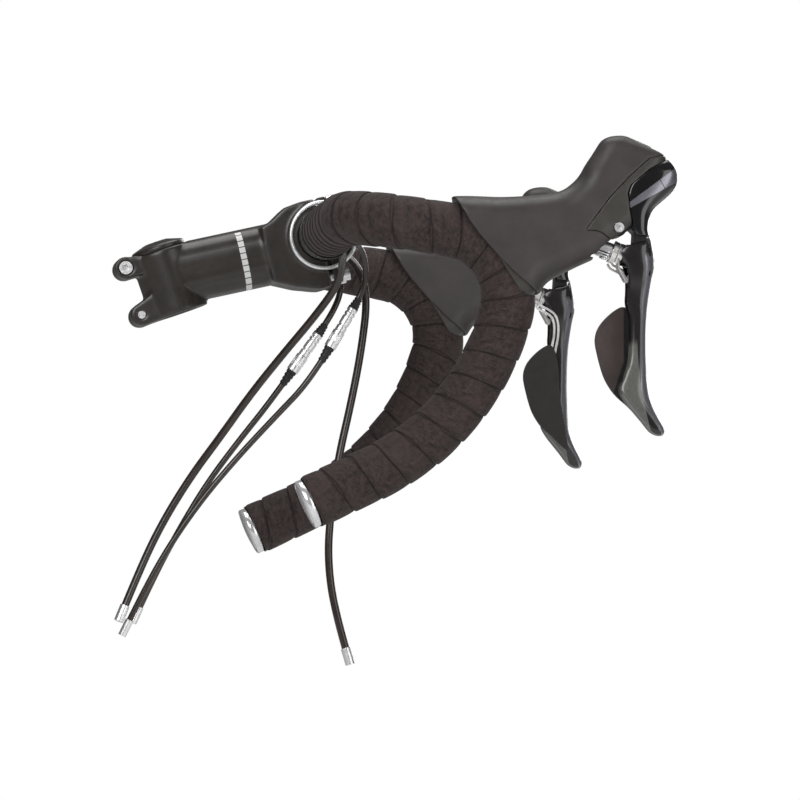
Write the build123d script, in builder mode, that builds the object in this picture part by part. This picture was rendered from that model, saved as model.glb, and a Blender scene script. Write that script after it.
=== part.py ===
"""Road drop handlebar with stem, wrapped bar, brake and shift levers and cable housings.

Millimetres. The origin is the middle of the stem's steerer clamp, on the steerer axis. +X points
forward, +Y to the rider's left, +Z up. Outlines of the bar and levers are given from the centre
of the bar clamp, in the side view (x forward, z up).
"""

import math
import os

from build123d import *

os.makedirs("parts", exist_ok=True)

# ---- driving dimensions -------------------------------------------------------------------
LEAN = 19.0  # the steerer axis leans back from the vertical, degrees
BAR_X, BAR_Z = 97.0, 29.5  # bar clamp centre from the origin
STEM_RISE = 12.5  # stem axis above the horizontal, degrees
STEERER_R = 14.3  # 28.6 mm steerer
CLAMP_R, CLAMP_H = 19.0, 42.0  # steerer clamp, outside radius and height
STEM_W, STEM_H = 36.0, 39.0  # stem body section
STEM_DROP = 3.8  # the body's centre runs this much below the bar's centre
BAR_CLAMP_R, BAR_CLAMP_W = 22.0, 44.0
BAR_BORE_R = 15.9  # 31.8 mm bar
BAR_R, BAR_WALL = 11.9, 2.0  # 23.8 mm grip section
BULGE_HALF, TAPER_END = 32.0, 62.0  # half length of the clamp bulge, end of its taper
REACH_Y = 210.0  # half the bar's width, centre to centre
RAMP_DROP = 9.0  # slope of the ramp, degrees
LEG_LEAN = 18.0  # the hook's front leg leans forward going up, degrees
LEG_POINT = (95.0, -65.0)  # the front leg passes through this
DROP_SLOPE = 25.0  # slope of the grip end, degrees
BAR_END = (-28.0, -180.0)
BEND_R, HOOK_R, DROP_R = 50.0, 42.0, 155.0
TAPE_R = 17.0  # outside of the wrapped tape
TAPE_START = 47.0
PLUG_R = 15.3
SKIN = 2.2  # hood rubber
PIVOT = (164.6, -8.6)  # brake pivot
PIN_R = 3.0
SHIFT = (176.0, -27.0)  # point on the shift axle
SHIFT_TILT = 20.0  # the shift axle rises to the rear, degrees
CAVITY = 11.5  # half width of the slot between the bracket's cheeks
BRAKE_D, GEAR_D = 5.0, 4.0  # housing diameters

u_dir = Vector(-math.sin(math.radians(LEAN)), 0, math.cos(math.radians(LEAN)))
v_dir = Vector(math.cos(math.radians(LEAN)), 0, math.sin(math.radians(LEAN)))
e_dir = Vector(math.cos(math.radians(STEM_RISE)), 0, math.sin(math.radians(STEM_RISE)))
n_dir = Vector(-math.sin(math.radians(STEM_RISE)), 0, math.cos(math.radians(STEM_RISE)))
axle_dir = Vector(math.cos(math.radians(SHIFT_TILT)), 0, -math.sin(math.radians(SHIFT_TILT)))
bar_centre = Vector(BAR_X, 0, BAR_Z)


# ---- placing helpers ----------------------------------------------------------------------
def at(x, z, y=0.0):
    """A point given from the bar clamp centre."""
    return Vector(BAR_X + x, y, BAR_Z + z)


def side(y=0.0):
    """Side-view plane through the bar clamp centre: local x forward, local y up."""
    return Plane((BAR_X, y, BAR_Z), x_dir=(1, 0, 0), z_dir=(0, -1, 0))


def face_across(points, y0, y1, mode=Mode.ADD):
    """Side-view outline carried across from y0 to y1 (y1 > y0)."""
    with BuildSketch(side(y1)) as outline:
        with BuildLine():
            Polyline(*points, close=True)
        make_face()
    extrude(outline.sketch, amount=y1 - y0, mode=mode)


def curve_across(points, y0, y1, mode=Mode.ADD):
    """Side-view outline as a closed smooth curve carried across from y0 to y1."""
    with BuildSketch(side(y1)) as outline:
        with BuildLine():
            Spline(*points, periodic=True)
        make_face()
    extrude(outline.sketch, amount=y1 - y0, mode=mode)


def rod(start, direction, length, radius, mode=Mode.ADD, bore=0.0):
    """Round bar or tube from a point along a direction."""
    with BuildSketch(Plane(start, z_dir=direction)) as disc:
        Circle(radius)
        if bore:
            Circle(bore, mode=Mode.SUBTRACT)
    extrude(disc.sketch, amount=length, mode=mode)


def hexagon(start, direction, length, across, mode=Mode.ADD):
    """Hexagonal bar, size given across its flats."""
    with BuildSketch(Plane(start, z_dir=direction)) as hexa:
        RegularPolygon(across / 2, 6, major_radius=False)
    extrude(hexa.sketch, amount=length, mode=mode)


def save(piece, name):
    piece.part.label = name
    export_step(piece.part, f"parts/{name}.step")


def save_pair(piece, name):
    """Right-hand piece as drawn, left-hand piece mirrored."""
    save(piece, name + "_R")
    with BuildPart() as twin:
        mirror(piece.part, about=Plane.XZ)
    save(twin, name + "_L")


# ---- handlebar ----------------------------------------------------------------------------
def bar_corners(first_y, short=0.0):
    """Corner points of the right half of the bar's centre line."""
    slope, ramp = math.radians(DROP_SLOPE), math.tan(math.radians(RAMP_DROP))
    lean = math.tan(math.radians(LEG_LEAN))
    leg_x, leg_z = LEG_POINT
    top_z = -ramp * (leg_x - lean * leg_z) / (1 + ramp * lean)
    grip = math.tan(slope)
    low_z = (BAR_END[1] + grip * (leg_x - lean * leg_z - BAR_END[0])) / (1 - grip * lean)
    end = (BAR_END[0] + short * math.cos(slope), BAR_END[1] + short * math.sin(slope))
    return [
        at(0, 0, -first_y),
        at(0, 0, -REACH_Y),
        at(leg_x + lean * (top_z - leg_z), top_z, -REACH_Y),
        at(leg_x + lean * (low_z - leg_z), low_z, -REACH_Y),
        at(*end, -REACH_Y),
    ]


def along_bar(radius, first_y, short=0.0, bore=0.0, mode=Mode.ADD):
    """Round section swept along the right half of the bar."""
    with BuildLine() as run:
        FilletPolyline(*bar_corners(first_y, short), radius=[BEND_R, HOOK_R, DROP_R])
    with BuildSketch(Plane(at(0, 0, -first_y), z_dir=(0, -1, 0))) as ring:
        Circle(radius)
        if bore:
            Circle(bore, mode=Mode.SUBTRACT)
    sweep(ring.sketch, path=run.line, mode=mode)


def turned_on_bar(profile, mode=Mode.ADD):
    """Profile of (distance to the right, radius) turned round the bar's straight middle."""
    with BuildSketch(Plane(bar_centre, x_dir=(0, -1, 0), z_dir=(0, 0, 1))) as half:
        with BuildLine():
            Polyline(*profile, close=True)
        make_face()
    revolve(half.sketch, axis=Axis(bar_centre, (0, 1, 0)), mode=mode)


with BuildPart() as half_bar:
    bore = BAR_R - BAR_WALL
    turned_on_bar(
        [
            (0, BAR_BORE_R),
            (BULGE_HALF, BAR_BORE_R),
            (TAPER_END, BAR_R),
            (TAPER_END, bore),
            (BULGE_HALF, BAR_BORE_R - BAR_WALL),
            (0, BAR_BORE_R - BAR_WALL),
        ]
    )
    along_bar(BAR_R, TAPER_END, short=3.8, bore=bore)
with BuildPart() as handlebar_tube:
    add(half_bar.part)
    mirror(half_bar.part, about=Plane.XZ)
save(handlebar_tube, "handlebar_tube")

end_dir = Vector(-math.cos(math.radians(DROP_SLOPE)), 0, -math.sin(math.radians(DROP_SLOPE)))
end_point = at(*BAR_END, -REACH_Y)
with BuildPart() as end_plug:
    rod(end_point - end_dir * 19.5, end_dir, 16.0, 9.7, bore=7.6)
    rod(end_point - end_dir * 3.5, end_dir, 4.6, PLUG_R)
    chamfer(end_plug.edges().filter_by(GeomType.CIRCLE).sort_by(Axis(end_point, end_dir))[-1], 1.0)
    with BuildSketch(Plane(end_point - end_dir * 19.5, z_dir=end_dir)) as ribs:
        with PolarLocations(9.6, 3):
            Rectangle(0.5, 1.6)
    extrude(ribs.sketch, amount=15.0)
save_pair(end_plug, "end_plug")

# ---- lever body outlines ------------------------------------------------------------------
# Rear-top and front-bottom edge of each section through hood and bracket, and its width.
SECTIONS = [
    ((54.0, 10.6), (106.8, -54.0), 41.6),
    ((63.0, 10.8), (115.8, -49.7), 41.2),
    ((76.0, 11.0), (120.5, -43.0), 40.6),
    ((92.0, 10.6), (130.0, -37.2), 38.5),
    ((108.0, 11.4), (143.0, -30.8), 36.5),
    ((122.5, 12.9), (152.5, -26.4), 35.2),
    ((135.5, 18.2), (163.0, -18.5), 34.0),
    ((143.0, 26.5), (174.0, -10.0), 32.0),
    ((148.5, 35.6), (184.0, 8.0), 29.0),
    ((155.0, 45.6), (192.0, 26.0), 25.0),
    ((159.5, 48.4), (195.6, 35.0), 21.0),
    ((165.0, 49.4), (191.5, 39.0), 15.0),
    ((171.0, 48.9), (186.5, 42.3), 8.0),
]
# Everything behind the hood's rear edge, which bows back over the tape.
BEHIND_HOOD = [
    (62.0, 25.0), (62.3, 11.0), (66.2, 3.6), (71.2, -5.0), (77.0, -13.0), (83.8, -20.8),
    (90.4, -28.0), (97.0, -34.6), (104.6, -41.6), (115.4, -49.8), (122.0, -58.0), (90.0, -80.0),
    (30.0, -60.0), (30.0, 25.0),
]
# Everything ahead of the hood's front edge, and everything ahead of the bracket.
BEYOND_HOOD = [
    (143.5, -10.7), (158.9, 9.8), (170.2, 22.1), (184.5, 35.0), (192.0, 36.6), (260, 36.6),
    (260, -90), (153.0, -90), (152.3, -24.0), (153.2, -21.5), (159.6, -15.8), (154.3, -12.2),
    (150.0, -10.4),
]
BEYOND_BRACKET = [
    (260, 34.4), (196.2, 34.4), (184.5, 28.3), (172.2, 18.0), (170.2, 12.9), (171.2, 2.6),
    (172.7, -3.5), (172.7, -9.8), (171.6, -12.8), (169.3, -15.3), (165.8, -16.8),
    (159.6, -15.8), (153.2, -21.5),
    (152.3, -24.0), (150.0, -90), (260, -90),
]
# Hollow between the cheeks, where the lever's works swing.
HOLLOW = [
    (131.5, -12.0), (132.5, -2.0), (137.5, 8.5), (147.0, 14.0), (160.0, 12.5), (190.0, 16.0),
    (190.0, -60.0), (149.5, -60.0), (149.5, -26.4), (146.5, -26.2), (136.0, -24.5), (132.0, -20.0),
]


def lever_shell(inset=0.0, mode=Mode.ADD):
    """Outer shape of hood and bracket together, or the same pulled in by a skin."""
    sections = []
    for (tx, tz), (bx, bz), width in SECTIONS:
        top, bottom = at(tx, tz, -REACH_Y), at(bx, bz, -REACH_Y)
        rise = (top - bottom).normalized()
        tall = (top - bottom).length - 2 * inset
        wide = width - 2 * inset
        plane = Plane((top + bottom) * 0.5, x_dir=(0, 1, 0), z_dir=Vector(0, 1, 0).cross(rise))
        with BuildSketch(plane) as section:
            RectangleRounded(wide, tall, 0.4 * min(wide, tall))
        sections.append(section.sketch)
    loft(sections, mode=mode)


with BuildPart() as lever_hood:
    lever_shell()
    lever_shell(SKIN, mode=Mode.SUBTRACT)
    along_bar(TAPE_R, TAPER_END, mode=Mode.SUBTRACT)
    face_across(BEHIND_HOOD, -REACH_Y - 30, -REACH_Y + 30, mode=Mode.SUBTRACT)
    face_across(BEYOND_HOOD, -REACH_Y - 30, -REACH_Y + 30, mode=Mode.SUBTRACT)
    face_across(HOLLOW, -REACH_Y - CAVITY, -REACH_Y + CAVITY, mode=Mode.SUBTRACT)
save_pair(lever_hood, "lever_hood")

# ---- clamp band, bracket, pivot pin -------------------------------------------------------
hook_corner = bar_corners(0)[2]
lean_dir = Vector(math.sin(math.radians(LEG_LEAN)), 0, math.cos(math.radians(LEG_LEAN)))
ramp_dir = Vector(math.cos(math.radians(RAMP_DROP)), 0, -math.sin(math.radians(RAMP_DROP)))
half_turn = math.radians(90 - RAMP_DROP + LEG_LEAN) / 2
hook_out = (lean_dir + ramp_dir).normalized()
hook_centre = hook_corner - hook_out * (HOOK_R / math.cos(half_turn))
band_centre = hook_centre + hook_out * HOOK_R
band_run = hook_out.cross(Vector(0, 1, 0)).normalized()
BAND_W, BAND_T = 11.0, 1.0
STUD_R, NUT_AF = 2.5, 8.0


def band_ring(outer, inner, width, mode=Mode.ADD):
    rod(band_centre - band_run * (width / 2), band_run, width, outer, mode, inner)


def saddle_behind():
    """Side-view region behind a line through the bar's centre where the bracket sits."""
    back = band_centre - bar_centre
    points = []
    for along, out in ((-70, 0), (70, 0), (70, -90), (-70, -90)):
        point = back + band_run * along + hook_out * out
        points.append((point.X, point.Z))
    return points


with BuildPart() as clamp_band:
    band_ring(BAR_R + BAND_T, 0.0, BAND_W)
    rod(band_centre + hook_out * 6.0, hook_out, BAR_R, 4.2)
    along_bar(BAR_R, TAPER_END, mode=Mode.SUBTRACT)
    rod(band_centre, hook_out, 30.0, STUD_R, mode=Mode.SUBTRACT)
save_pair(clamp_band, "clamp_band")

with BuildPart() as band_bolt:
    rod(band_centre + hook_out * (BAR_R + 0.3), hook_out, 15.0, STUD_R)
    hexagon(band_centre + hook_out * (BAR_R + 9.5), hook_out, 4.0, NUT_AF)
save_pair(band_bolt, "band_bolt")

with BuildPart() as bracket_panel:
    lever_shell()
    face_across(BEYOND_HOOD, -REACH_Y - 30, -REACH_Y + 30, mode=Mode.INTERSECT)
with BuildPart() as lever_bracket:
    lever_shell(SKIN)
    add(bracket_panel.part)
    face_across(BEYOND_BRACKET, -REACH_Y - 30, -REACH_Y + 30, mode=Mode.SUBTRACT)
    face_across(HOLLOW, -REACH_Y - CAVITY, -REACH_Y + CAVITY, mode=Mode.SUBTRACT)
    face_across(saddle_behind(), -REACH_Y - 30, -REACH_Y + 30, mode=Mode.SUBTRACT)
    hexagon(band_centre + hook_out * (BAR_R + 9.5), hook_out, 9.0, NUT_AF, mode=Mode.SUBTRACT)
    rod(band_centre + hook_out * 6.0, hook_out, BAR_R, 4.2, mode=Mode.SUBTRACT)
    rod(band_centre, hook_out, BAR_R + 12.0, STUD_R + 0.3, mode=Mode.SUBTRACT)
    band_ring(BAR_R + BAND_T, 0.0, BAND_W, mode=Mode.SUBTRACT)
    along_bar(BAR_R, TAPER_END, mode=Mode.SUBTRACT)
    rod(at(*PIVOT, -REACH_Y - 25), Vector(0, 1, 0), 50, PIN_R, mode=Mode.SUBTRACT)
save_pair(lever_bracket, "lever_bracket")

PIN_HALF = 16.6
with BuildPart() as pivot_pin:
    rod(at(*PIVOT, -REACH_Y - PIN_HALF), Vector(0, 1, 0), 2 * PIN_HALF, PIN_R)
    hexagon(at(*PIVOT, -REACH_Y - PIN_HALF), Vector(0, 1, 0), 2.0, 2.5, mode=Mode.SUBTRACT)
save_pair(pivot_pin, "pivot_pin")

# ---- tape ---------------------------------------------------------------------------------
with BuildPart() as seat:
    lever_shell(SKIN)
    face_across(saddle_behind(), -REACH_Y - 30, -REACH_Y + 30, mode=Mode.SUBTRACT)
with BuildPart() as bar_tape:
    turned_on_bar(
        [
            (TAPE_START, BAR_R + (TAPER_END - TAPE_START) / (TAPER_END - BULGE_HALF)
             * (BAR_BORE_R - BAR_R)),
            (TAPE_START, TAPE_R),
            (TAPER_END, TAPE_R),
            (TAPER_END, BAR_R),
        ]
    )
    along_bar(TAPE_R, TAPER_END, short=3.8, bore=BAR_R)
    add(seat.part, mode=Mode.SUBTRACT)
    band_ring(BAR_R + BAND_T, 0.0, BAND_W, mode=Mode.SUBTRACT)

with BuildPart() as finishing_tape:
    turned_on_bar(
        [
            (TAPE_START, TAPE_R),
            (TAPE_START, TAPE_R + 0.5),
            (TAPE_START + 13, TAPE_R + 0.5),
            (TAPE_START + 13, TAPE_R),
        ]
    )

# ---- brake lever and shift works ----------------------------------------------------------
def on_axle(t, y=0.0):
    """Point on the shift axle, t millimetres ahead of the reference point."""
    return at(*SHIFT, -REACH_Y + y) + axle_dir * t


AXLE_R = 2.8
BOSS = (-7.5, 4.6, 7.0)  # carrier boss on the axle: from, to, radius
LINK = (-11.2, -8.0, 6.5)
ARM = (-14.8, -11.6, 6.5)
DRUM = (-38.0, -27.2, 8.0)
PLATES = (-26.8, -15.2)
HUB_R = 5.2
SLACK = 0.15  # running clearance on pins

with BuildPart() as brake_carrier:
    rod(at(*PIVOT, -REACH_Y - 11.0), Vector(0, 1, 0), 22.0, HUB_R)
    face_across(
        [
            (163.0, -4.5), (167.5, 0.5), (173.0, 9.5), (178.5, 17.0), (186.0, 23.5),
            (193.0, 27.5), (198.0, 25.0), (196.0, 17.0), (189.0, 9.5), (183.0, 3.0),
            (181.5, -5.0), (182.5, -11.0), (174.6, -11.0), (172.5, -9.0), (168.0, -12.0),
        ],
        -REACH_Y - 9.0, -REACH_Y + 9.0,
    )
    face_across(
        [(174.6, -10.5), (182.5, -10.5), (182.8, -20.0), (180.5, -25.0), (175.5, -24.0),
         (174.2, -17.0)],
        -REACH_Y - 9.0, -REACH_Y + 4.8,
    )
    rod(on_axle(BOSS[0]), axle_dir, BOSS[1] - BOSS[0], BOSS[2])
    rod(at(*PIVOT, -REACH_Y - 25), Vector(0, 1, 0), 50, PIN_R + SLACK, mode=Mode.SUBTRACT)
    rod(on_axle(-40), axle_dir, 60, AXLE_R, mode=Mode.SUBTRACT)
save_pair(brake_carrier, "brake_carrier")

with BuildPart() as name_plate:
    face_across(
        [
            (196.4, 33.6), (202.2, 28.3), (203.2, 23.2), (200.0, 14.9), (194.8, 10.0),
            (187.8, 3.6), (184.9, -3.5), (173.3, -3.5), (171.8, 2.6), (170.8, 12.7),
            (172.8, 17.6), (184.9, 27.7),
        ],
        -REACH_Y - 13.0, -REACH_Y + 13.0,
    )
    front = Plane((BAR_X + 215, -REACH_Y, BAR_Z), x_dir=(0, 1, 0), z_dir=(1, 0, 0))
    with BuildSketch(front) as outline:
        with BuildLine():
            Polyline((-12.5, -3.5), (-13.0, 12), (-11.5, 26), (-8.0, 34), (8.0, 34),
                     (11.5, 26), (13.0, 12), (12.5, -3.5), close=True)
        make_face()
    extrude(outline.sketch, amount=-60, mode=Mode.INTERSECT)
    add(brake_carrier.part, mode=Mode.SUBTRACT)
save_pair(name_plate, "name_plate")

with BuildPart() as shift_axle:
    rod(on_axle(-39.5), axle_dir, 49.4, AXLE_R)
    rod(on_axle(9.9), axle_dir, 2.0, 4.4)
    hexagon(on_axle(11.9), axle_dir * -1, 1.6, 4.0, mode=Mode.SUBTRACT)
save_pair(shift_axle, "shift_axle")

with BuildPart() as cable_drum:
    rod(on_axle(DRUM[0]), axle_dir, DRUM[1] - DRUM[0], DRUM[2])
    rod(on_axle(DRUM[0] - 1), axle_dir, 20, AXLE_R + SLACK, mode=Mode.SUBTRACT)
    rod(on_axle(DRUM[0] + 4), axle_dir, 3.0, 12.0, Mode.SUBTRACT, DRUM[2] - 1.8)
save_pair(cable_drum, "cable_drum")

with BuildPart() as ratchet_plates:
    count, gap = 4, 0.8
    thick = (PLATES[1] - PLATES[0] - gap * (count - 1)) / count
    rod(on_axle(PLATES[0]), axle_dir, PLATES[1] - PLATES[0], AXLE_R + 1.6)
    for i in range(count):
        start = PLATES[0] + i * (thick + gap)
        rod(on_axle(start), axle_dir, thick, 7.4 - 0.7 * (i % 2))
    rod(on_axle(PLATES[0] - 1), axle_dir, 20, AXLE_R + SLACK, mode=Mode.SUBTRACT)
save_pair(ratchet_plates, "ratchet_plates")

BLADE_OUTLINE = [
    (182.0, -20.5), (187.4, -20.5), (188.3, -29.2), (186.6, -38.8), (184.1, -54.6),
    (183.0, -70.4), (183.0, -90.0), (183.6, -105.0), (185.6, -116.7), (190.2, -126.0),
    (192.9, -131.5), (192.6, -135.2), (191.0, -137.0), (187.5, -135.4), (182.4, -129.6),
    (172.5, -119.7), (166.2, -110.0), (165.6, -107.0), (169.0, -97.0), (171.8, -85.0),
    (172.2, -70.0), (170.6, -54.6), (171.2, -40.8), (170.0, -33.5), (172.5, -25.0),
    (176.0, -20.5),
]
# Height, half width and outward shift of the blade seen from the front.
BLADE_WIDTH = [
    (-19.0, 12.0, 0.0), (-38.0, 11.5, 0.0), (-52.0, 8.9, 0.0), (-90.0, 8.3, 0.8),
    (-112.0, 8.8, 2.5), (-128.0, 8.6, 5.0), (-138.0, 5.5, 7.0),
]
with BuildPart() as brake_blade:
    face_across(BLADE_OUTLINE, -REACH_Y - 20, -REACH_Y + 20)
    with BuildSketch(front) as outline:
        with BuildLine():
            Polyline(*[(-w - c, z) for z, w, c in BLADE_WIDTH],
                     *[(w - c, z) for z, w, c in reversed(BLADE_WIDTH)], close=True)
        make_face()
    extrude(outline.sketch, amount=-60, mode=Mode.INTERSECT)
    face_across(
        [(150, -15), (184.4, -15), (184.6, -37.6), (150, -37.6)],
        -REACH_Y - 9.5, -REACH_Y + 9.5, mode=Mode.SUBTRACT,
    )
    face_across(
        [(150, -37.6), (181, -37.6), (181, -57), (179.4, -70), (179.4, -103), (150, -103)],
        -REACH_Y - 6.4, -REACH_Y + 6.4, mode=Mode.SUBTRACT,
    )
    rod(on_axle(0), axle_dir, 30, AXLE_R + SLACK, mode=Mode.SUBTRACT)
    rod(on_axle(9.7), axle_dir, 30, 4.8, mode=Mode.SUBTRACT)
save_pair(brake_blade, "brake_blade")

with BuildPart() as blade_link:
    rod(on_axle(LINK[0]), axle_dir, LINK[1] - LINK[0], LINK[2])
    face_across(
        [(164.9, -25.6), (165.9, -26.6), (166.0, -32.4), (171.0, -39.2), (181.0, -42.0),
         (181.0, -56.0), (178.8, -56.0), (178.8, -44.0), (169.6, -41.4), (165.0, -33.0)],
        -REACH_Y - 5.5, -REACH_Y + 5.5,
    )
    rod(on_axle(-40), axle_dir, 60, AXLE_R + SLACK, mode=Mode.SUBTRACT)
save_pair(blade_link, "blade_link")

with BuildPart() as paddle_arm:
    rod(on_axle(ARM[0]), axle_dir, ARM[1] - ARM[0], ARM[2])
    face_across(
        [(161.6, -25.0), (162.8, -25.8), (162.7, -29.7), (164.0, -32.6), (164.6, -34.3),
         (161.0, -33.5), (160.4, -29.5)],
        -REACH_Y + 3.0, -REACH_Y + 5.6,
    )
    face_across(
        [(161.0, -33.5), (164.6, -34.3), (167.2, -39.3), (163.2, -39.3)],
        -REACH_Y + 3.0, -REACH_Y + 11.8,
    )
    face_across(
        [(163.2, -39.3), (167.2, -39.3), (169.4, -46.0), (169.8, -51.5), (174.2, -55.5),
         (174.2, -74.0), (160.0, -74.0), (161.5, -62.0), (165.4, -56.0), (164.6, -46.0)],
        -REACH_Y + 9.4, -REACH_Y + 11.8,
    )
    face_across(
        [(165.6, -41.0), (166.6, -41.0), (168.0, -46.5), (168.4, -57.0), (167.0, -57.0),
         (166.8, -46.5)],
        -REACH_Y + 8.0, -REACH_Y + 13.0, mode=Mode.SUBTRACT,
    )
    rod(on_axle(-40), axle_dir, 60, AXLE_R + SLACK, mode=Mode.SUBTRACT)
save_pair(paddle_arm, "paddle_arm")

with BuildPart() as paddle_tip:
    curve_across(
        [(171.0, -56.5), (164.0, -59.0), (155.7, -67.4), (152.6, -76.0), (154.0, -86.0),
         (157.7, -99.0), (162.0, -107.0), (166.5, -112.4), (172.5, -117.6), (179.0, -124.0),
         (182.2, -124.8), (180.5, -112.0), (177.0, -90.0), (175.2, -66.0)],
        -REACH_Y + 9.4, -REACH_Y + 13.2,
    )
    add(paddle_arm.part, mode=Mode.SUBTRACT)
save_pair(paddle_tip, "paddle_tip")

# ---- stem ---------------------------------------------------------------------------------
def en(along, rise):
    """Side-view point from the bar clamp centre, along and square to the stem's axis."""
    point = e_dir * along + n_dir * rise
    return (point.X, point.Z)


def uv(up, ahead):
    """The same kind of point, given along and square to the steerer axis from the origin."""
    point = u_dir * up + v_dir * ahead - bar_centre
    return (point.X, point.Z)


SPLIT = 0.8  # half the gap between stem and faceplate
UPPER_BOLT, LOWER_BOLT, BOLT_Y = 20.3, -27.0, 15.2
BOLT_R, HEAD_R = 2.5, 4.2
UPPER_EAR, LOWER_EAR, EAR_BACK, EAR_R = 17.2, -14.3, -24.4, 7.2
EAR_HALF = 13.5
CAP_SEAT_R = 18.2  # clear round the top cap


def faceplate_bolt_spots():
    return [
        bar_centre + n_dir * rise + Vector(0, y, 0)
        for rise in (UPPER_BOLT, LOWER_BOLT)
        for y in (-BOLT_Y, BOLT_Y)
    ]


def ear_spots():
    return [u_dir * UPPER_EAR + v_dir * EAR_BACK, u_dir * LOWER_EAR + v_dir * EAR_BACK]


with BuildPart() as stem_body:
    rod(u_dir * (-CLAMP_H / 2), u_dir, CLAMP_H, CLAMP_R)
    start = bar_centre - n_dir * STEM_DROP - e_dir * 8.0
    with BuildSketch(Plane(start, x_dir=(0, 1, 0), z_dir=e_dir * -1)) as section:
        RectangleRounded(STEM_W, STEM_H, 15.0)
    extrude(section.sketch, amount=90.0)
    face_across(
        [en(-38, 13.5), en(-31, 16.2), en(-21, 22.6), en(-10, 24.2), en(-SPLIT, 24.2),
         en(-SPLIT, -32.5), en(-9, -33.2), en(-24, -28.5), en(-38, -22.0)],
        -19.0, 19.0,
    )
    rod(bar_centre - Vector(0, BAR_CLAMP_W / 2, 0), Vector(0, 1, 0), BAR_CLAMP_W, BAR_CLAMP_R)
    for spot in ear_spots():
        rod(spot - Vector(0, EAR_HALF, 0), Vector(0, 1, 0), 2 * EAR_HALF, EAR_R)
    face_across(
        [uv(24.2, -26.0), uv(21.0, -8.0), uv(21.0, 6.0), uv(9.0, 6.0), uv(9.6, -12.0),
         uv(10.2, -26.0)],
        -EAR_HALF, EAR_HALF,
    )
    face_across(
        [uv(-7.2, -25.5), uv(-4.5, -17.0), uv(0.5, -8.0), uv(3.0, 4.0), uv(-21.0, 4.0),
         uv(-21.0, -17.0), uv(-21.4, -25.5)],
        -EAR_HALF, EAR_HALF,
    )
    face_across(
        [en(-SPLIT, 60), en(60, 60), en(60, -60), en(-SPLIT, -60)], -40, 40,
        mode=Mode.SUBTRACT,
    )
    rod(bar_centre - Vector(0, 40, 0), Vector(0, 1, 0), 80, BAR_BORE_R, mode=Mode.SUBTRACT)
    rod(u_dir * 21.0, u_dir, 20, CAP_SEAT_R, mode=Mode.SUBTRACT)
    rod(u_dir * -60, u_dir, 120, STEERER_R, mode=Mode.SUBTRACT)
    face_across(
        [uv(60, -8), uv(60, -60), uv(-60, -60), uv(-60, -8)], -1.2, 1.2, mode=Mode.SUBTRACT
    )
    for spot in faceplate_bolt_spots():
        rod(spot - e_dir * 18, e_dir, 40, BOLT_R, mode=Mode.SUBTRACT)
    for spot, head_side in zip(ear_spots(), (-1, 1)):
        rod(spot - Vector(0, 30, 0), Vector(0, 1, 0), 60, BOLT_R, mode=Mode.SUBTRACT)
        rod(spot + Vector(0, head_side * (EAR_HALF - 4.5), 0), Vector(0, head_side, 0), 30,
            HEAD_R + 0.3, mode=Mode.SUBTRACT)
save(stem_body, "stem_body")

with BuildPart() as stem_faceplate:
    rod(bar_centre - Vector(0, BAR_CLAMP_W / 2, 0), Vector(0, 1, 0), BAR_CLAMP_W, BAR_CLAMP_R)
    face_across(
        [en(SPLIT, 8), en(SPLIT, 24.2), en(5.5, 24.2), en(7.0, 22.6), en(7.0, 8)], -20.0, 20.0
    )
    face_across(
        [en(SPLIT, -8), en(SPLIT, -32.5), en(4.5, -32.5), en(6.5, -30.5), en(6.5, -22.5),
         en(11.5, -17.5), en(13.0, -8)],
        -20.0, 20.0,
    )
    face_across(
        [en(SPLIT, 60), en(-60, 60), en(-60, -60), en(SPLIT, -60)], -40, 40,
        mode=Mode.SUBTRACT,
    )
    rod(bar_centre - Vector(0, 40, 0), Vector(0, 1, 0), 80, BAR_BORE_R, mode=Mode.SUBTRACT)
    face_across([en(12, 11), en(30, 11), en(30, -11), en(12, -11)], -8, 8, mode=Mode.SUBTRACT)
    for spot, seat_at in zip(faceplate_bolt_spots(), (7.0, 7.0, 6.5, 6.5)):
        rod(spot - e_dir * 18, e_dir, 40, BOLT_R, mode=Mode.SUBTRACT)
        rod(spot + e_dir * seat_at, e_dir, 30, HEAD_R + 0.4, mode=Mode.SUBTRACT)
save(stem_faceplate, "stem_faceplate")

with BuildPart() as faceplate_bolts:
    for spot, seat_at in zip(faceplate_bolt_spots(), (7.0, 7.0, 6.5, 6.5)):
        rod(spot + e_dir * (seat_at - 23.0), e_dir, 23.5, BOLT_R)
        rod(spot + e_dir * seat_at, e_dir, 5.0, HEAD_R)
        hexagon(spot + e_dir * (seat_at + 5.0), e_dir * -1, 2.8, 4.0, mode=Mode.SUBTRACT)
save(faceplate_bolts, "faceplate_bolts")

with BuildPart() as steerer_clamp_bolts:
    for spot, head_side in zip(ear_spots(), (-1, 1)):
        seat_at = spot + Vector(0, head_side * (EAR_HALF - 4.5), 0)
        tip = 2 * EAR_HALF - 4.5 - 1.0
        rod(seat_at, Vector(0, -head_side, 0), tip, BOLT_R)
        rod(seat_at, Vector(0, head_side, 0), 5.0, HEAD_R)
        hexagon(seat_at + Vector(0, head_side * 5.0, 0), Vector(0, -head_side, 0), 2.8, 4.0,
                mode=Mode.SUBTRACT)
save(steerer_clamp_bolts, "steerer_clamp_bolts")


def turned_on_steerer(profile, mode=Mode.ADD):
    """Profile of (radius, height) turned round the steerer axis."""
    with BuildSketch(Plane((0, 0, 0), x_dir=v_dir, z_dir=(0, -1, 0))) as half:
        with BuildLine():
            Polyline(*profile, close=True)
        make_face()
    revolve(half.sketch, axis=Axis((0, 0, 0), u_dir), mode=mode)


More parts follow.
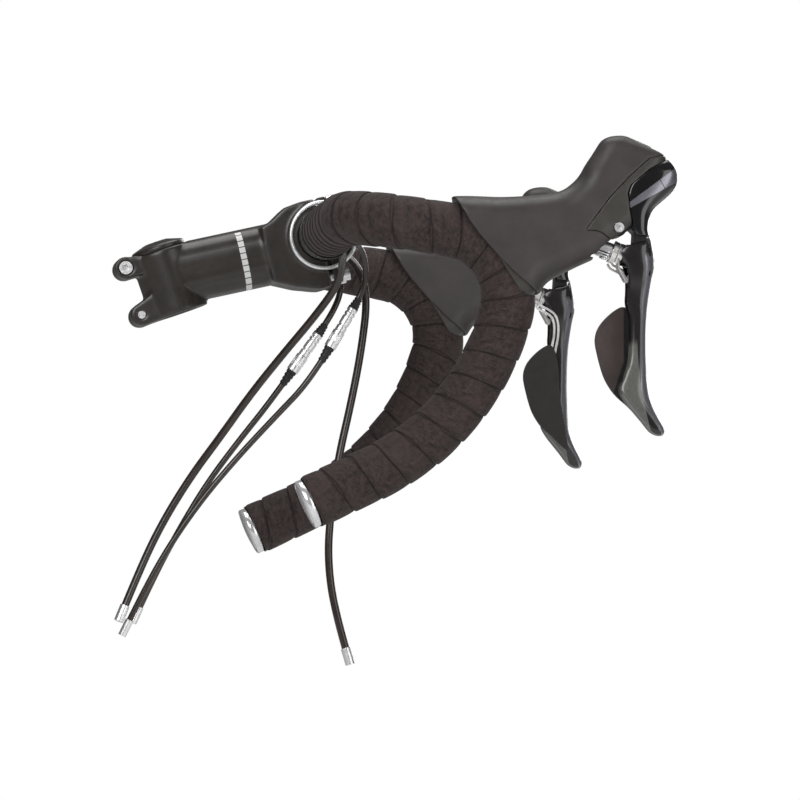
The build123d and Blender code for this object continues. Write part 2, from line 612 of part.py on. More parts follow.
CAP_TOP = 27.2
with BuildPart() as top_cap:
    turned_on_steerer(
        [(3.1, 21.0), (17.6, 21.0), (17.6, 23.2), (16.6, 24.4), (7.4, CAP_TOP), (5.2, CAP_TOP),
         (5.2, 23.6), (3.1, 23.6)]
    )
save(top_cap, "top_cap")
with BuildPart() as top_cap_bolt:
    turned_on_steerer(
        [(0, 21.0), (3.1, 21.0), (3.1, 23.6), (4.9, 23.6), (4.9, 26.8), (0, 26.8)]
    )
    hexagon(u_dir * 26.8, u_dir * -1, 2.6, 5.0, mode=Mode.SUBTRACT)
save(top_cap_bolt, "top_cap_bolt")

# ---- cable housings -----------------------------------------------------------------------
REAR_BRAKE = [
    (8.4, -63, -11.9), (10.6, -44, -14.9), (9.5, -27.5, -31), (-5, -15.5, -51.5),
    (-23, -1, -73.5), (-43, 15, -99), (-62, 27, -126.5), (-81, 34, -152.5), (-100, 37, -184),
    (-114, 36, -214), (-126, 33.5, -243),
]
FRONT_BRAKE = [
    (13.8, 63, -4.8), (17.6, 44, -6), (27.5, 29.5, -17), (32.5, 23.5, -36.5), (28, 19.5, -71),
    (21, 15, -105), (12.5, 10, -140), (7.5, 8, -172.5), (5, 6.5, -205), (9.5, 5, -239),
    (19, 4, -271),
]
REAR_SHIFT_UPPER = [(13.9, -63, -3), (17.1, -44, -3.6), (26, -28, -14), (27, -22, -33)]
REAR_SHIFT_LOWER = [
    (-9, -21.5, -93.2), (-31, -26.5, -116), (-55, -31, -141.5), (-78, -33.5, -168.5),
    (-98, -32.5, -197), (-114.5, -31, -226), (-128, -28.5, -254),
]
FRONT_SHIFT_UPPER = [(10, 61, -10.2), (12.6, 44, -13), (17, 28.5, -25.5), (12, 24, -44.5)]
FRONT_SHIFT_LOWER = [
    (-30.5, 25, -104.5), (-50, 29.5, -129), (-70, 33, -156), (-88, 34.5, -186),
    (-104, 33.5, -216), (-117, 32, -244),
]
ADJUSTER_L = 29.0
ARC_SHARE = 0.45


def fit_adjuster(upper, lower, lead):
    """Ends the two housings at an adjuster set into the straight leg between them."""
    foot, head = upper[-1], lower[0]
    leg = math.dist(foot, head)
    for reach, points, place in ((lead, upper, len(upper)), (lead + ADJUSTER_L, lower, 0)):
        share = reach / leg
        points.insert(place, tuple(a + (b - a) * share for a, b in zip(foot, head)))


fit_adjuster(REAR_SHIFT_UPPER, REAR_SHIFT_LOWER, 16.2)
fit_adjuster(FRONT_SHIFT_UPPER, FRONT_SHIFT_LOWER, 19.8)


def route(points):
    return [at(x, z, y) for x, y, z in points]


def bend_radii(corners):
    radii = []
    for before, here, after in zip(corners, corners[1:], corners[2:]):
        turn = math.radians((here - before).get_angle(after - here))
        shorter = min((here - before).length, (after - here).length)
        radii.append(ARC_SHARE * shorter / math.tan(turn / 2))
    return radii


def housing(points, diameter, name, mode=Mode.ADD):
    corners = route(points)
    radii = bend_radii(corners)
    with BuildLine() as run:
        FilletPolyline(*corners, radius=radii)
    with BuildSketch(Plane(corners[0], z_dir=corners[1] - corners[0])) as disc:
        Circle(diameter / 2)
    sweep(disc.sketch, path=run.line, mode=mode)
    length = sum(edge.length for edge in run.line.edges())
    section = math.pi * diameter**2 / 4
    print(name, "length", round(length, 1), "least radius", round(min(radii), 1),
          "section x length", round(section * length))


HOUSINGS = {
    "rear_brake_housing": (REAR_BRAKE, BRAKE_D),
    "front_brake_housing": (FRONT_BRAKE, BRAKE_D),
    "rear_shift_housing_upper": (REAR_SHIFT_UPPER, GEAR_D),
    "rear_shift_housing_lower": (REAR_SHIFT_LOWER, GEAR_D),
    "front_shift_housing_upper": (FRONT_SHIFT_UPPER, GEAR_D),
    "front_shift_housing_lower": (FRONT_SHIFT_LOWER, GEAR_D),
}
FERRULE_L, FERRULE_GRIP, FERRULE_WALL = 11.0, 9.0, 0.6
for name, (points, diameter) in HOUSINGS.items():
    with BuildPart() as cable:
        housing(points, diameter, name)
    save(cable, name)
    print(name, "volume", round(cable.part.volume))

for name, (points, diameter) in HOUSINGS.items():
    if name.endswith("upper"):
        continue
    last, end = route(points)[-2:]
    ahead = (end - last).normalized()
    with BuildPart() as ferrule:
        rod(end - ahead * FERRULE_GRIP, ahead, FERRULE_L, diameter / 2 + FERRULE_WALL)
        rod(end - ahead * FERRULE_GRIP, ahead, FERRULE_GRIP, diameter / 2, mode=Mode.SUBTRACT)
        rod(end, ahead, FERRULE_L, 0.9, mode=Mode.SUBTRACT)
    save(ferrule, name.replace("_lower", "").replace("housing", "ferrule"))

# ---- inline barrel adjusters --------------------------------------------------------------
ADJ_R, BARREL_R, STUD_LEN, ADJ_STUD_R = 3.4, 3.9, 8.0, 1.9
ADJ_SPLIT, ADJ_GAP = 17.0, 0.2
UPPER_BOOT, LOWER_BOOT = 8.0, 11.0
for name, upper, lower in (
    ("rear_shift", REAR_SHIFT_UPPER, REAR_SHIFT_LOWER),
    ("front_shift", FRONT_SHIFT_UPPER, FRONT_SHIFT_LOWER),
):
    came, top = route(upper)[-2:]
    bottom, goes = route(lower)[:2]
    axis, length = (bottom - top).normalized(), (bottom - top).length
    back, on = (came - top).normalized(), (goes - bottom).normalized()
    print(name, "adjuster axis", axis, "length", round(length, 2), "from", top)
    with BuildPart() as adjuster_body:
        rod(top, axis, ADJ_SPLIT, ADJ_R)
        for start in (2.0, 5.0, 12.0):
            rod(top + axis * start, axis, 1.2, ADJ_R + 1, Mode.SUBTRACT, ADJ_R - 0.5)
        rod(top + axis * ADJ_SPLIT, axis, STUD_LEN, ADJ_STUD_R)
        rod(top, axis, 40, 0.9, mode=Mode.SUBTRACT)
    save(adjuster_body, name + "_adjuster_body")
    with BuildPart() as barrel:
        rod(top + axis * (ADJ_SPLIT + ADJ_GAP), axis, length - ADJ_SPLIT - 2 * ADJ_GAP, BARREL_R)
        rod(top + axis * ADJ_SPLIT, axis, STUD_LEN + 1, ADJ_STUD_R + SLACK, mode=Mode.SUBTRACT)
        rod(top, axis, 40, 0.9, mode=Mode.SUBTRACT)
        with BuildSketch(Plane(top + axis * (ADJ_SPLIT + 2.5), z_dir=axis)) as grooves:
            with PolarLocations(BARREL_R, 12):
                Circle(0.45)
        extrude(grooves.sketch, amount=5.5, mode=Mode.SUBTRACT)
    save(barrel, name + "_adjuster_barrel")
    with BuildPart() as boots:
        for foot, run, long in ((top, back, UPPER_BOOT), (bottom, on, LOWER_BOOT)):
            for k in range(4):
                step = long / 4
                wide = 3.3 - 0.25 * k
                rod(foot + run * (k * step), run, step * 0.6, wide, bore=GEAR_D / 2)
                rod(foot + run * ((k + 0.6) * step), run, step * 0.4, wide - 0.5, bore=GEAR_D / 2)
    save(boots, name + "_adjuster_boots")

# ---- channels for the housings under the tape ----------------------------------------------
UNDER_TAPE = {"R": ("rear_brake_housing", "rear_shift_housing_upper"),
              "L": ("front_brake_housing", "front_shift_housing_upper")}
for hand, names in UNDER_TAPE.items():
    for wrap, label in ((bar_tape, "bar_tape"), (finishing_tape, "finishing_tape")):
        with BuildPart() as channelled:
            if hand == "R":
                add(wrap.part)
            else:
                mirror(wrap.part, about=Plane.XZ)
            for name in names:
                points, diameter = HOUSINGS[name]
                housing(points[:4], diameter, name + " channel", mode=Mode.SUBTRACT)
        save(channelled, f"{label}_{hand}")
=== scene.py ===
"""Looks of a road drop handlebar: wrapped bar, stem, brake and shift levers, cable housings.

Metres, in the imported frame. Side-view outlines are given in millimetres from the centre of the
bar clamp: x forward, z up, y to the rider's left.
"""

import math

import bmesh
import bpy
from mathutils import Matrix, Vector


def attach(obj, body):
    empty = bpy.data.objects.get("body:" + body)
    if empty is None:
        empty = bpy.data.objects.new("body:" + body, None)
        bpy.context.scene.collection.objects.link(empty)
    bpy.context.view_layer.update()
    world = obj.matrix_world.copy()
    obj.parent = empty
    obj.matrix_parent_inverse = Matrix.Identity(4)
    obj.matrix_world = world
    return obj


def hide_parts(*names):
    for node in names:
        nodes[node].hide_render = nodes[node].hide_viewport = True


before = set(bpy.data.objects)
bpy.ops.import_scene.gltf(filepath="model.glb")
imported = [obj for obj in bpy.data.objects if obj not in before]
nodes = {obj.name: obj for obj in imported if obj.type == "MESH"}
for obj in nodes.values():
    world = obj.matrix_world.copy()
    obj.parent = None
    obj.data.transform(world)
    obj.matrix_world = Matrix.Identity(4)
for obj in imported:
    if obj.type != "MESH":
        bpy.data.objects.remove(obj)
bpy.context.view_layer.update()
scene = bpy.context.scene

MM = 0.001
BAR_CENTRE = (97.0, 0.0, 29.5)
REACH_Y = 210.0
RAMP_DROP, LEG_LEAN, DROP_SLOPE = 9.0, 18.0, 25.0
LEG_POINT, BAR_END = (95.0, -65.0), (-28.0, -180.0)
BEND_R, HOOK_R, DROP_R = 50.0, 42.0, 155.0
TAPE_R, TAPE_START, TAPE_SHORT = 17.0, 47.0, 3.8
STEM_RISE = 12.5
ROOT = "bar_and_stem"
FLOOR_Z, FLOOR_HALF = -0.47, 6.0  # metres


def at(x, z, y=0.0):
    return Vector((BAR_CENTRE[0] + x, BAR_CENTRE[1] + y, BAR_CENTRE[2] + z)) * MM


# ---- camera, light and floor ---------------------------------------------------------------
camera = bpy.data.objects.new("camera", bpy.data.cameras.new("camera"))
scene.collection.objects.link(camera)
camera.data.lens, camera.data.sensor_width = 425, 36
camera.data.clip_start, camera.data.clip_end = 0.1, 60
camera.location = at(-545, -428.8, -6000)
camera.rotation_euler = (at(51, -103.8) - camera.location).to_track_quat("-Z", "Y").to_euler()
scene.camera = camera
scene.view_settings.view_transform = "Standard"

world = bpy.data.worlds.new("studio")
scene.world = world
world.use_nodes = True
background = world.node_tree.nodes["Background"]
background.inputs["Color"].default_value = (1, 1, 1, 1)
path = world.node_tree.nodes.new("ShaderNodeLightPath")
level = world.node_tree.nodes.new("ShaderNodeMapRange")
level.inputs["To Min"].default_value, level.inputs["To Max"].default_value = 0.12, 1.0
world.node_tree.links.new(path.outputs["Is Camera Ray"], level.inputs["Value"])
world.node_tree.links.new(level.outputs["Result"], background.inputs["Strength"])


def softbox(name, place, aim, size, power):
    light = bpy.data.lights.new(name, "AREA")
    light.shape, light.size, light.size_y, light.energy = "RECTANGLE", size[0], size[1], power
    lamp = bpy.data.objects.new(name, light)
    scene.collection.objects.link(lamp)
    lamp.location = at(*place)
    lamp.rotation_euler = (at(*aim) - lamp.location).to_track_quat("-Z", "Y").to_euler()


softbox("key", (-700, 700, -1500), (60, -60, -150), (1.1, 1.1), 17)
softbox("fill", (1100, 100, -1300), (100, -60, -150), (0.9, 1.4), 8)
softbox("top", (100, 1500, 200), (60, -60, 0), (1.6, 1.2), 17)
softbox("rim", (900, 500, 1400), (100, -60, 0), (1.0, 1.0), 9)


# ---- materials -----------------------------------------------------------------------------
class Shader:
    """A principled material with helpers for its nodes."""

    def __init__(self, name, colour, rough, metal=0.0, **sockets):
        self.material = bpy.data.materials.new(name)
        self.material.use_nodes = True
        self.tree = self.material.node_tree
        self.principled = self.tree.nodes["Principled BSDF"]
        self.colour = colour
        self.put("Base Color", (*colour, 1))
        self.put("Roughness", rough)
        self.put("Metallic", metal)
        for socket, value in sockets.items():
            self.put(socket.replace("_", " "), value)
        self.coords = self.node("ShaderNodeTexCoord").outputs["Object"]

    def put(self, socket, value):
        self.principled.inputs[socket].default_value = value

    def node(self, kind, inputs=None, **fields):
        made = self.tree.nodes.new(kind)
        for field, value in fields.items():
            setattr(made, field, value)
        for socket, value in (inputs or {}).items():
            if isinstance(value, bpy.types.NodeSocket):
                self.tree.links.new(value, made.inputs[socket])
            else:
                made.inputs[socket].default_value = value
        return made

    def noise(self, scale, detail=4.0, rough=0.55, vector=None):
        return self.node("ShaderNodeTexNoise", {
            "Vector": vector or self.coords, "Scale": scale, "Detail": detail,
            "Roughness": rough}).outputs["Fac"]

    def spread(self, value, low, high, to_low=0.0, to_high=1.0):
        return self.node("ShaderNodeMapRange", {
            "Value": value, "From Min": low, "From Max": high, "To Min": to_low,
            "To Max": to_high}).outputs["Result"]

    def math(self, operation, a, b=0.0):
        return self.node("ShaderNodeMath", {0: a, 1: b}, operation=operation).outputs[0]

    def mix(self, factor, a, b):
        made = self.node("ShaderNodeMix", {"Factor": factor}, data_type="RGBA")
        for index, value in ((6, a), (7, b)):
            if isinstance(value, bpy.types.NodeSocket):
                self.tree.links.new(value, made.inputs[index])
            else:
                made.inputs[index].default_value = (*value, 1)
        return made.outputs[2]

    def measure(self, place, direction):
        """Distance from a place along a direction, in metres."""
        offset = self.node("ShaderNodeVectorMath", {0: self.coords, 1: tuple(place)},
                           operation="SUBTRACT").outputs[0]
        return self.node("ShaderNodeVectorMath", {0: offset, 1: direction},
                         operation="DOT_PRODUCT").outputs["Value"]

    def link(self, output, socket):
        self.tree.links.new(output, self.principled.inputs[socket])

    def bump(self, height, strength, distance, before=None):
        inputs = {"Height": height, "Strength": strength, "Distance": distance}
        if before:
            inputs["Normal"] = before
        return self.node("ShaderNodeBump", inputs).outputs["Normal"]


def shade(colour, factor):
    return tuple(min(1.0, c * factor) for c in colour)


def moulded(name, colour, rough, grain=900, depth=0.00012, contrast=0.25, metal=0.0, strength=0.5,
            **sockets):
    """Plastic, rubber, paint or metal with a fine grain, soft colour drift and worn roughness."""
    look = Shader(name, colour, rough, metal, **sockets)
    drift = look.spread(look.noise(60, 5), 0.3, 0.7)
    look.link(look.mix(drift, shade(colour, 1 - contrast), shade(colour, 1 + contrast)),
              "Base Color")
    worn = look.spread(look.noise(190, 6, 0.65), 0.3, 0.7, rough * 0.85, min(1.0, rough * 1.2))
    look.link(worn, "Roughness")
    look.link(look.bump(look.noise(grain, 3), strength, depth), "Normal")
    return look


def brushed(name, colour, rough, stretch=(1, 1, 1)):
    """Metal with fine drawn lines along one direction and small tarnish spots."""
    look = Shader(name, colour, rough, 1.0)
    lines = look.node("ShaderNodeMapping", {"Vector": look.coords, "Scale": stretch})
    streak = look.noise(500, 3, 0.5, lines.outputs["Vector"])
    look.link(look.spread(streak, 0.3, 0.7, rough * 0.85, rough * 1.25), "Roughness")
    spots = look.spread(look.noise(220, 5, 0.6), 0.55, 0.9)
    look.link(look.mix(spots, shade(colour, 1.03), shade(colour, 0.78)), "Base Color")
    look.link(look.bump(streak, 0.05, 0.000002), "Normal")
    return look


TAPE_COLOUR = (0.040, 0.028, 0.026)


def tape_look():
    """Mottled foam tape with fine pores, pressed marks and painted shade in the creases between
    laps.
    """
    look = Shader("tape_foam", TAPE_COLOUR, 0.82, Sheen_Weight=0.05, Sheen_Roughness=0.5,
                  Specular_IOR_Level=0.3)
    pores = look.noise(1500, 5, 0.7)
    uv = look.node("ShaderNodeUVMap", uv_map="lap").outputs["UV"]
    drawn = look.node("ShaderNodeMapping", {"Vector": uv, "Scale": (1.0, 3.2, 1.0)})
    cork = look.noise(1.9, 8, 0.78, drawn.outputs["Vector"])
    fleck = look.noise(620, 4, 0.7)
    clouds = look.noise(45, 3, 0.5)
    split = look.node("ShaderNodeSeparateXYZ", {"Vector": uv})
    along, across = split.outputs["X"], split.outputs["Y"]
    # pressed marks: a row of short bars of uneven length along the middle of the lap
    cell = look.math("FRACT", along)
    bar = look.math("LESS_THAN", look.math("ABSOLUTE", look.math("SUBTRACT", cell, 0.5)), 0.34)
    row = look.math("LESS_THAN", look.math("ABSOLUTE", look.math("SUBTRACT", across, 0.45)), 0.17)
    core = look.math("LESS_THAN", look.math("ABSOLUTE", look.math("SUBTRACT", cell, 0.5)), 0.17)
    hole = look.math("LESS_THAN", look.math("ABSOLUTE", look.math("SUBTRACT", across, 0.45)), 0.06)
    ring = look.math("SUBTRACT", look.math("MULTIPLY", bar, row), look.math("MULTIPLY", core, hole))
    patch = look.spread(look.noise(38, 1, 0.5), 0.52, 0.70)
    mark = look.math("MULTIPLY", ring, patch)
    # Painted shade in the crease where laps meet: both edges of each lap are darkened.
    edge = look.math("MAXIMUM", look.spread(across, 0.93, 1.0), look.spread(across, 0.07, 0.0))
    tone = look.mix(look.spread(cork, 0.40, 0.62), shade(TAPE_COLOUR, 0.42),
                    shade(TAPE_COLOUR, 1.6))
    tone = look.mix(look.spread(fleck, 0.55, 0.75, 0, 0.6), tone, shade(TAPE_COLOUR, 2.6))
    tone = look.mix(look.spread(clouds, 0.45, 0.7, 0, 0.45), tone, shade(TAPE_COLOUR, 1.7))
    tone = look.mix(look.math("MULTIPLY", mark, 0.16), tone, shade(TAPE_COLOUR, 0.4))
    tone = look.mix(look.math("MULTIPLY", edge, 0.75), tone, shade(TAPE_COLOUR, 0.18))
    look.link(tone, "Base Color")
    look.link(look.spread(cork, 0.3, 0.7, 0.72, 0.92), "Roughness")
    first = look.bump(look.math("SUBTRACT", 1.0, mark), 0.18, 0.0002)
    second = look.bump(cork, 0.5, 0.0006, first)
    look.link(look.bump(pores, 0.35, 0.0002, second), "Normal")
    return look.material


# The printed line: its middle behind and below the bar's centre along the stem, in metres.
BAND_BEHIND, BAND_BELOW, BAND_HALF_W, BAND_HALF_H = 0.0525, 0.0062, 0.0019, 0.0198
DASHES, DASH_SHARE = 250, 0.86  # dashes per metre, and the printed share of each


def stem_look():
    """Satin black paint over a forging, with a thin broken white line printed round it."""
    colour = (0.026, 0.021, 0.018)
    look = Shader("stem_paint", colour, 0.33, Coat_Weight=0.25, Coat_Roughness=0.2)
    rise = math.radians(STEM_RISE)
    along = look.measure(at(0, 0), (math.cos(rise), 0, math.sin(rise)))
    upward = look.measure(at(0, 0), (-math.sin(rise), 0, math.cos(rise)))
    band = look.math("LESS_THAN", look.math("ABSOLUTE", look.math("ADD", along, BAND_BEHIND)),
                     BAND_HALF_W)
    tall = look.math("LESS_THAN", look.math("ABSOLUTE", look.math("ADD", upward, BAND_BELOW)),
                     BAND_HALF_H)
    dash = look.math("LESS_THAN", look.math("FRACT", look.math("MULTIPLY", upward, DASHES)),
                     DASH_SHARE)
    printed = look.math("MULTIPLY", look.math("MULTIPLY", band, tall), dash)
    clouds = look.spread(look.noise(55, 5), 0.3, 0.7)
    paint = look.mix(clouds, shade(colour, 0.75), shade(colour, 1.3))
    look.link(look.mix(printed, paint, (0.75, 0.75, 0.75)), "Base Color")
    look.link(look.spread(look.noise(260, 6, 0.7), 0.3, 0.7, 0.27, 0.42), "Roughness")
    look.link(look.bump(look.noise(1300, 3), 0.25, 0.0001), "Normal")
    return look.material


# Grey-green painted reflection of the floor on the blade's glossy black lower face.
PAINTED_FLOOR_REFLECTION = (0.125, 0.127, 0.115)


def two_tone(name, colour, rough, other, other_rough, other_metal, where, lower=None):
    """Gloss paint with a second metallic finish, and a painted grey reflection of the floor, where
    the masks say so.
    """
    look = Shader(name, colour, rough, Coat_Weight=0.5, Coat_Roughness=0.08)
    rim = where(look)
    flake = look.noise(2600, 2, 0.5)
    clouds = look.spread(look.noise(70, 5), 0.3, 0.7)
    paint = look.mix(clouds, shade(colour, 0.8), shade(colour, 1.3))
    metal = look.mix(look.spread(flake, 0.3, 0.7), shade(other, 0.8), shade(other, 1.25))
    tone = look.mix(rim, paint, metal)
    if lower:
        # Painted reflection of the floor, mottled, where the lower mask says so.
        reflection_tone = look.mix(look.spread(look.noise(500, 4), 0.3, 0.7), shade(PAINTED_FLOOR_REFLECTION, 0.85),
                         shade(PAINTED_FLOOR_REFLECTION, 1.15))
        tone = look.mix(lower(look), tone, reflection_tone)
    look.link(tone, "Base Color")
    look.link(look.spread(rim, 0, 1, 0.0, other_metal), "Metallic")
    scuff = look.spread(look.noise(420, 6, 0.7), 0.3, 0.75, 0.0, 0.08)
    look.link(look.math("ADD", look.spread(rim, 0, 1, rough, other_rough), scuff), "Roughness")
    look.link(look.bump(look.noise(800, 3), 0.15, 0.00006), "Normal")
    return look.material


STRIPE_START, STRIPE_LEAN = (171.5, 5.4), 32.9
STRIPE_HALF, STRIPE_FLARE, JOINT_AT = 0.0017, 0.064, 0.0245  # metres, share, metres


def cover_stripe(look):
    """The stripe that rises forward over the cover's sides, and the thin joint before it."""
    lean = math.radians(STRIPE_LEAN)
    over = look.measure(at(*STRIPE_START), (-math.sin(lean), 0, math.cos(lean)))
    ahead = look.measure(at(*STRIPE_START), (math.cos(lean), 0, math.sin(lean)))
    half = look.math("ADD", look.math("MULTIPLY", ahead, STRIPE_FLARE), STRIPE_HALF)
    inside = look.math("SUBTRACT", half, look.math("ABSOLUTE", over))
    joint = look.spread(look.math("ABSOLUTE", look.math("SUBTRACT", ahead, JOINT_AT)),
                        0.0002, 0.0004)
    return look.math("MULTIPLY", look.spread(inside, 0.0, 0.0002), joint)


RIM_TOP, RIM_FROM = -0.0235, 0.67  # height in metres, and the share of the way forward
# Bounds of the painted floor reflection on the blade's lower face.
REFLECTION_X, REFLECTION_TOP, REFLECTION_CURVE = 176.7, -77.0, 2.35


def blade_rim(look):
    """The narrow front rim of the blade, from below its boss down."""
    share = look.node("ShaderNodeAttribute", attribute_name="forward").outputs["Fac"]
    height = look.measure(at(0, 0), (0, 0, 1))
    started = look.spread(height, RIM_TOP, RIM_TOP - 0.004)
    return look.math("MULTIPLY", look.spread(share, RIM_FROM, RIM_FROM + 0.03), started)


def blade_floor_reflection(look):
    """The painted reflection of the floor on the blade's lower face behind the rim, bounded ahead
    by a line that curves forward.
    """
    down = look.math("MAXIMUM", look.measure(at(0, REFLECTION_TOP), (0, 0, -1)), 0.0)
    bound = look.math("MULTIPLY", look.math("MULTIPLY", down, down), REFLECTION_CURVE)
    ahead = look.math("SUBTRACT", look.measure(at(REFLECTION_X, 0), (1, 0, 0)), bound)
    return look.math("MULTIPLY", look.spread(down, 0.0, 0.005), look.spread(ahead, 0.0003, -0.0003))


GROOVE_SHADE_X, GROOVE_SHADE_BEND_Z, GROOVE_SHADE_SLOPE = 170.4, -90.0, 0.33  # rear edge of the painted shade in the groove behind the blade, leaning back below
PADDLE_INNER_Y = 0.1986


def paddle_look():
    """Grained plastic with painted shade: near black in the groove behind the blade, darker on its
    inner face.
    """
    look = moulded("paddle_plastic", (0.060, 0.044, 0.041), 0.42, 1800, 0.0001, 0.2)
    tone = look.principled.inputs["Base Color"].links[0].from_socket
    down = look.math("MAXIMUM", look.measure(at(0, GROOVE_SHADE_BEND_Z), (0, 0, -1)), 0.0)
    slant = look.math("MULTIPLY", down, GROOVE_SHADE_SLOPE)
    ahead = look.math("ADD", look.measure(at(GROOVE_SHADE_X, 0), (1, 0, 0)), slant)
    # Painted shade: near black where the paddle sits in the groove behind the blade.
    tone = look.mix(look.spread(ahead, -0.0001, 0.0001), tone, (0.006, 0.006, 0.006))
    # Painted shade: the inner face is turned away from the main light, so it is darkened.
    aside = look.math("ABSOLUTE", look.measure((0, 0, 0), (0, 1, 0)))
    inner = look.spread(aside, PADDLE_INNER_Y + 0.0002, PADDLE_INNER_Y - 0.0002)
    look.link(look.mix(inner, tone, (0.014, 0.010, 0.009)), "Base Color")
    return look.material


RUBBER = (0.042, 0.036, 0.034)
looks = {
    "tape": tape_look(),
    "finishing": moulded("finishing_tape", (0.016, 0.015, 0.015), 0.35, 700, 0.0001).material,
    "hood": moulded("hood_rubber", RUBBER, 0.46, 2300, 0.00010, 0.16, strength=0.3,
                    Specular_IOR_Level=0.5).material,
    "bracket": moulded("bracket_plastic", (0.042, 0.037, 0.032), 0.42, 1500, 0.00009,
                       0.12).material,
    "carrier": moulded("carrier_paint", (0.016, 0.014, 0.015), 0.28, 900, 0.0001).material,
    "plate": two_tone("name_plate", (0.007, 0.007, 0.008), 0.10,
                      (0.24, 0.235, 0.27), 0.3, 0.8, cover_stripe),
    "blade": two_tone("blade", (0.014, 0.012, 0.013), 0.17, (0.30, 0.295, 0.325), 0.30, 0.85,
                      blade_rim, blade_floor_reflection),
    "paddle": paddle_look(),
    "steel": brushed("pressed_steel", (0.86, 0.85, 0.84), 0.34, (1, 6, 1)).material,
    "bolt": brushed("bolt_steel", (0.84, 0.84, 0.85), 0.32, (6, 1, 6)).material,
    "bright": brushed("polished_alloy", (0.88, 0.88, 0.89), 0.36, (1, 5, 1)).material,
    "bar": brushed("bar_alloy", (0.42, 0.42, 0.43), 0.3, (1, 12, 1)).material,
    "plug": moulded("plug_silver", (0.80, 0.80, 0.82), 0.16, 500, 0.0001, 0.08, 0.55).material,
    "stem": stem_look(),
    "jacket": moulded("housing_jacket", (0.030, 0.021, 0.017), 0.24, 600, 0.00008, 0.3,
                      Coat_Weight=0.3, Coat_Roughness=0.15).material,
    "boot": moulded("boot_rubber", (0.018, 0.016, 0.016), 0.55, 1200, 0.0001).material,
    "works": moulded("works_plastic", (0.020, 0.018, 0.018), 0.4, 1200, 0.0001).material,
    "floor": moulded("floor", (0.82, 0.82, 0.81), 0.6, 40, 0.0005, 0.01).material,
}

floor_mesh = bpy.data.meshes.new("floor")
corners = [(-1, -1), (1, -1), (1, 1), (-1, 1)]
floor_mesh.from_pydata([(x * FLOOR_HALF, y * FLOOR_HALF, FLOOR_Z) for x, y in corners],
                       [], [(0, 1, 2, 3)])
floor = bpy.data.objects.new("floor", floor_mesh)
scene.collection.objects.link(floor)
floor.data.materials.append(looks["floor"])

# ---- cable housings ------------------------------------------------------------------------
# Route points (x, y, z) in millimetres from the bar clamp centre.
REAR_BRAKE = [
    (8.4, -63, -11.9), (10.6, -44, -14.9), (9.5, -27.5, -31), (-5, -15.5, -51.5),
    (-23, -1, -73.5), (-43, 15, -99), (-62, 27, -126.5), (-81, 34, -152.5), (-100, 37, -184),
    (-114, 36, -214), (-126, 33.5, -243),
]
FRONT_BRAKE = [
    (13.8, 63, -4.8), (17.6, 44, -6), (27.5, 29.5, -17), (32.5, 23.5, -36.5), (28, 19.5, -71),
    (21, 15, -105), (12.5, 10, -140), (7.5, 8, -172.5), (5, 6.5, -205), (9.5, 5, -239),
    (19, 4, -271),
]
REAR_SHIFT_UPPER = [(13.9, -63, -3), (17.1, -44, -3.6), (26, -28, -14), (27, -22, -33)]
REAR_SHIFT_LOWER = [
    (-9, -21.5, -93.2), (-31, -26.5, -116), (-55, -31, -141.5), (-78, -33.5, -168.5),
    (-98, -32.5, -197), (-114.5, -31, -226), (-128, -28.5, -254),
]
FRONT_SHIFT_UPPER = [(10, 61, -10.2), (12.6, 44, -13), (17, 28.5, -25.5), (12, 24, -44.5)]
FRONT_SHIFT_LOWER = [
    (-30.5, 25, -104.5), (-50, 29.5, -129), (-70, 33, -156), (-88, 34.5, -186),
    (-104, 33.5, -216), (-117, 32, -244),
]
ADJUSTER_L = 29.0


def fit_adjuster(upper, lower, lead):
    """Ends the two housings at an adjuster set into the straight leg between them."""
    foot, head = upper[-1], lower[0]
    leg = math.dist(foot, head)
    for distance, points, place in ((lead, upper, len(upper)), (lead + ADJUSTER_L, lower, 0)):
        share = distance / leg
        points.insert(place, tuple(a + (b - a) * share for a, b in zip(foot, head)))


fit_adjuster(REAR_SHIFT_UPPER, REAR_SHIFT_LOWER, 16.2)
fit_adjuster(FRONT_SHIFT_UPPER, FRONT_SHIFT_LOWER, 19.8)


def housing(name, points, diameter, exit_point):
    curve = bpy.data.curves.new(name, "CURVE")
    curve.dimensions, curve.resolution_u = "3D", 16
    curve.bevel_depth, curve.bevel_resolution, curve.use_fill_caps = diameter / 2 * MM, 5, True
    spline = curve.splines.new("NURBS")
    spline.points.add(len(points) - 1)
    for point, (x, y, z) in zip(spline.points, points):
        point.co = (*at(x, z, y), 1)
    spline.order_u = 3
    spline.use_endpoint_u = True
    piece = bpy.data.objects.new("show_" + name, curve)
    scene.collection.objects.link(piece)
    curve.materials.append(looks["jacket"])
    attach(piece, ROOT)
    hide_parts(name)
    x, y, z = exit_point


housing("rear_brake_housing", REAR_BRAKE, 5.0, (10.2, -47, -14.3))
housing("front_brake_housing", FRONT_BRAKE, 5.0, (17.0, 47, -5.8))
for hand, upper, lower, sizes, leaves in (
    ("rear", REAR_SHIFT_UPPER, REAR_SHIFT_LOWER, (0.0746, 0.2270), (16.6, -47, -3.5)),
    ("front", FRONT_SHIFT_UPPER, FRONT_SHIFT_LOWER, (0.0762, 0.1900), (12.2, 47, -12.6)),
):
    housing(f"{hand}_shift_housing_upper", upper, 4.0, leaves)
    housing(f"{hand}_shift_housing_lower", lower, 4.0, lower[0])


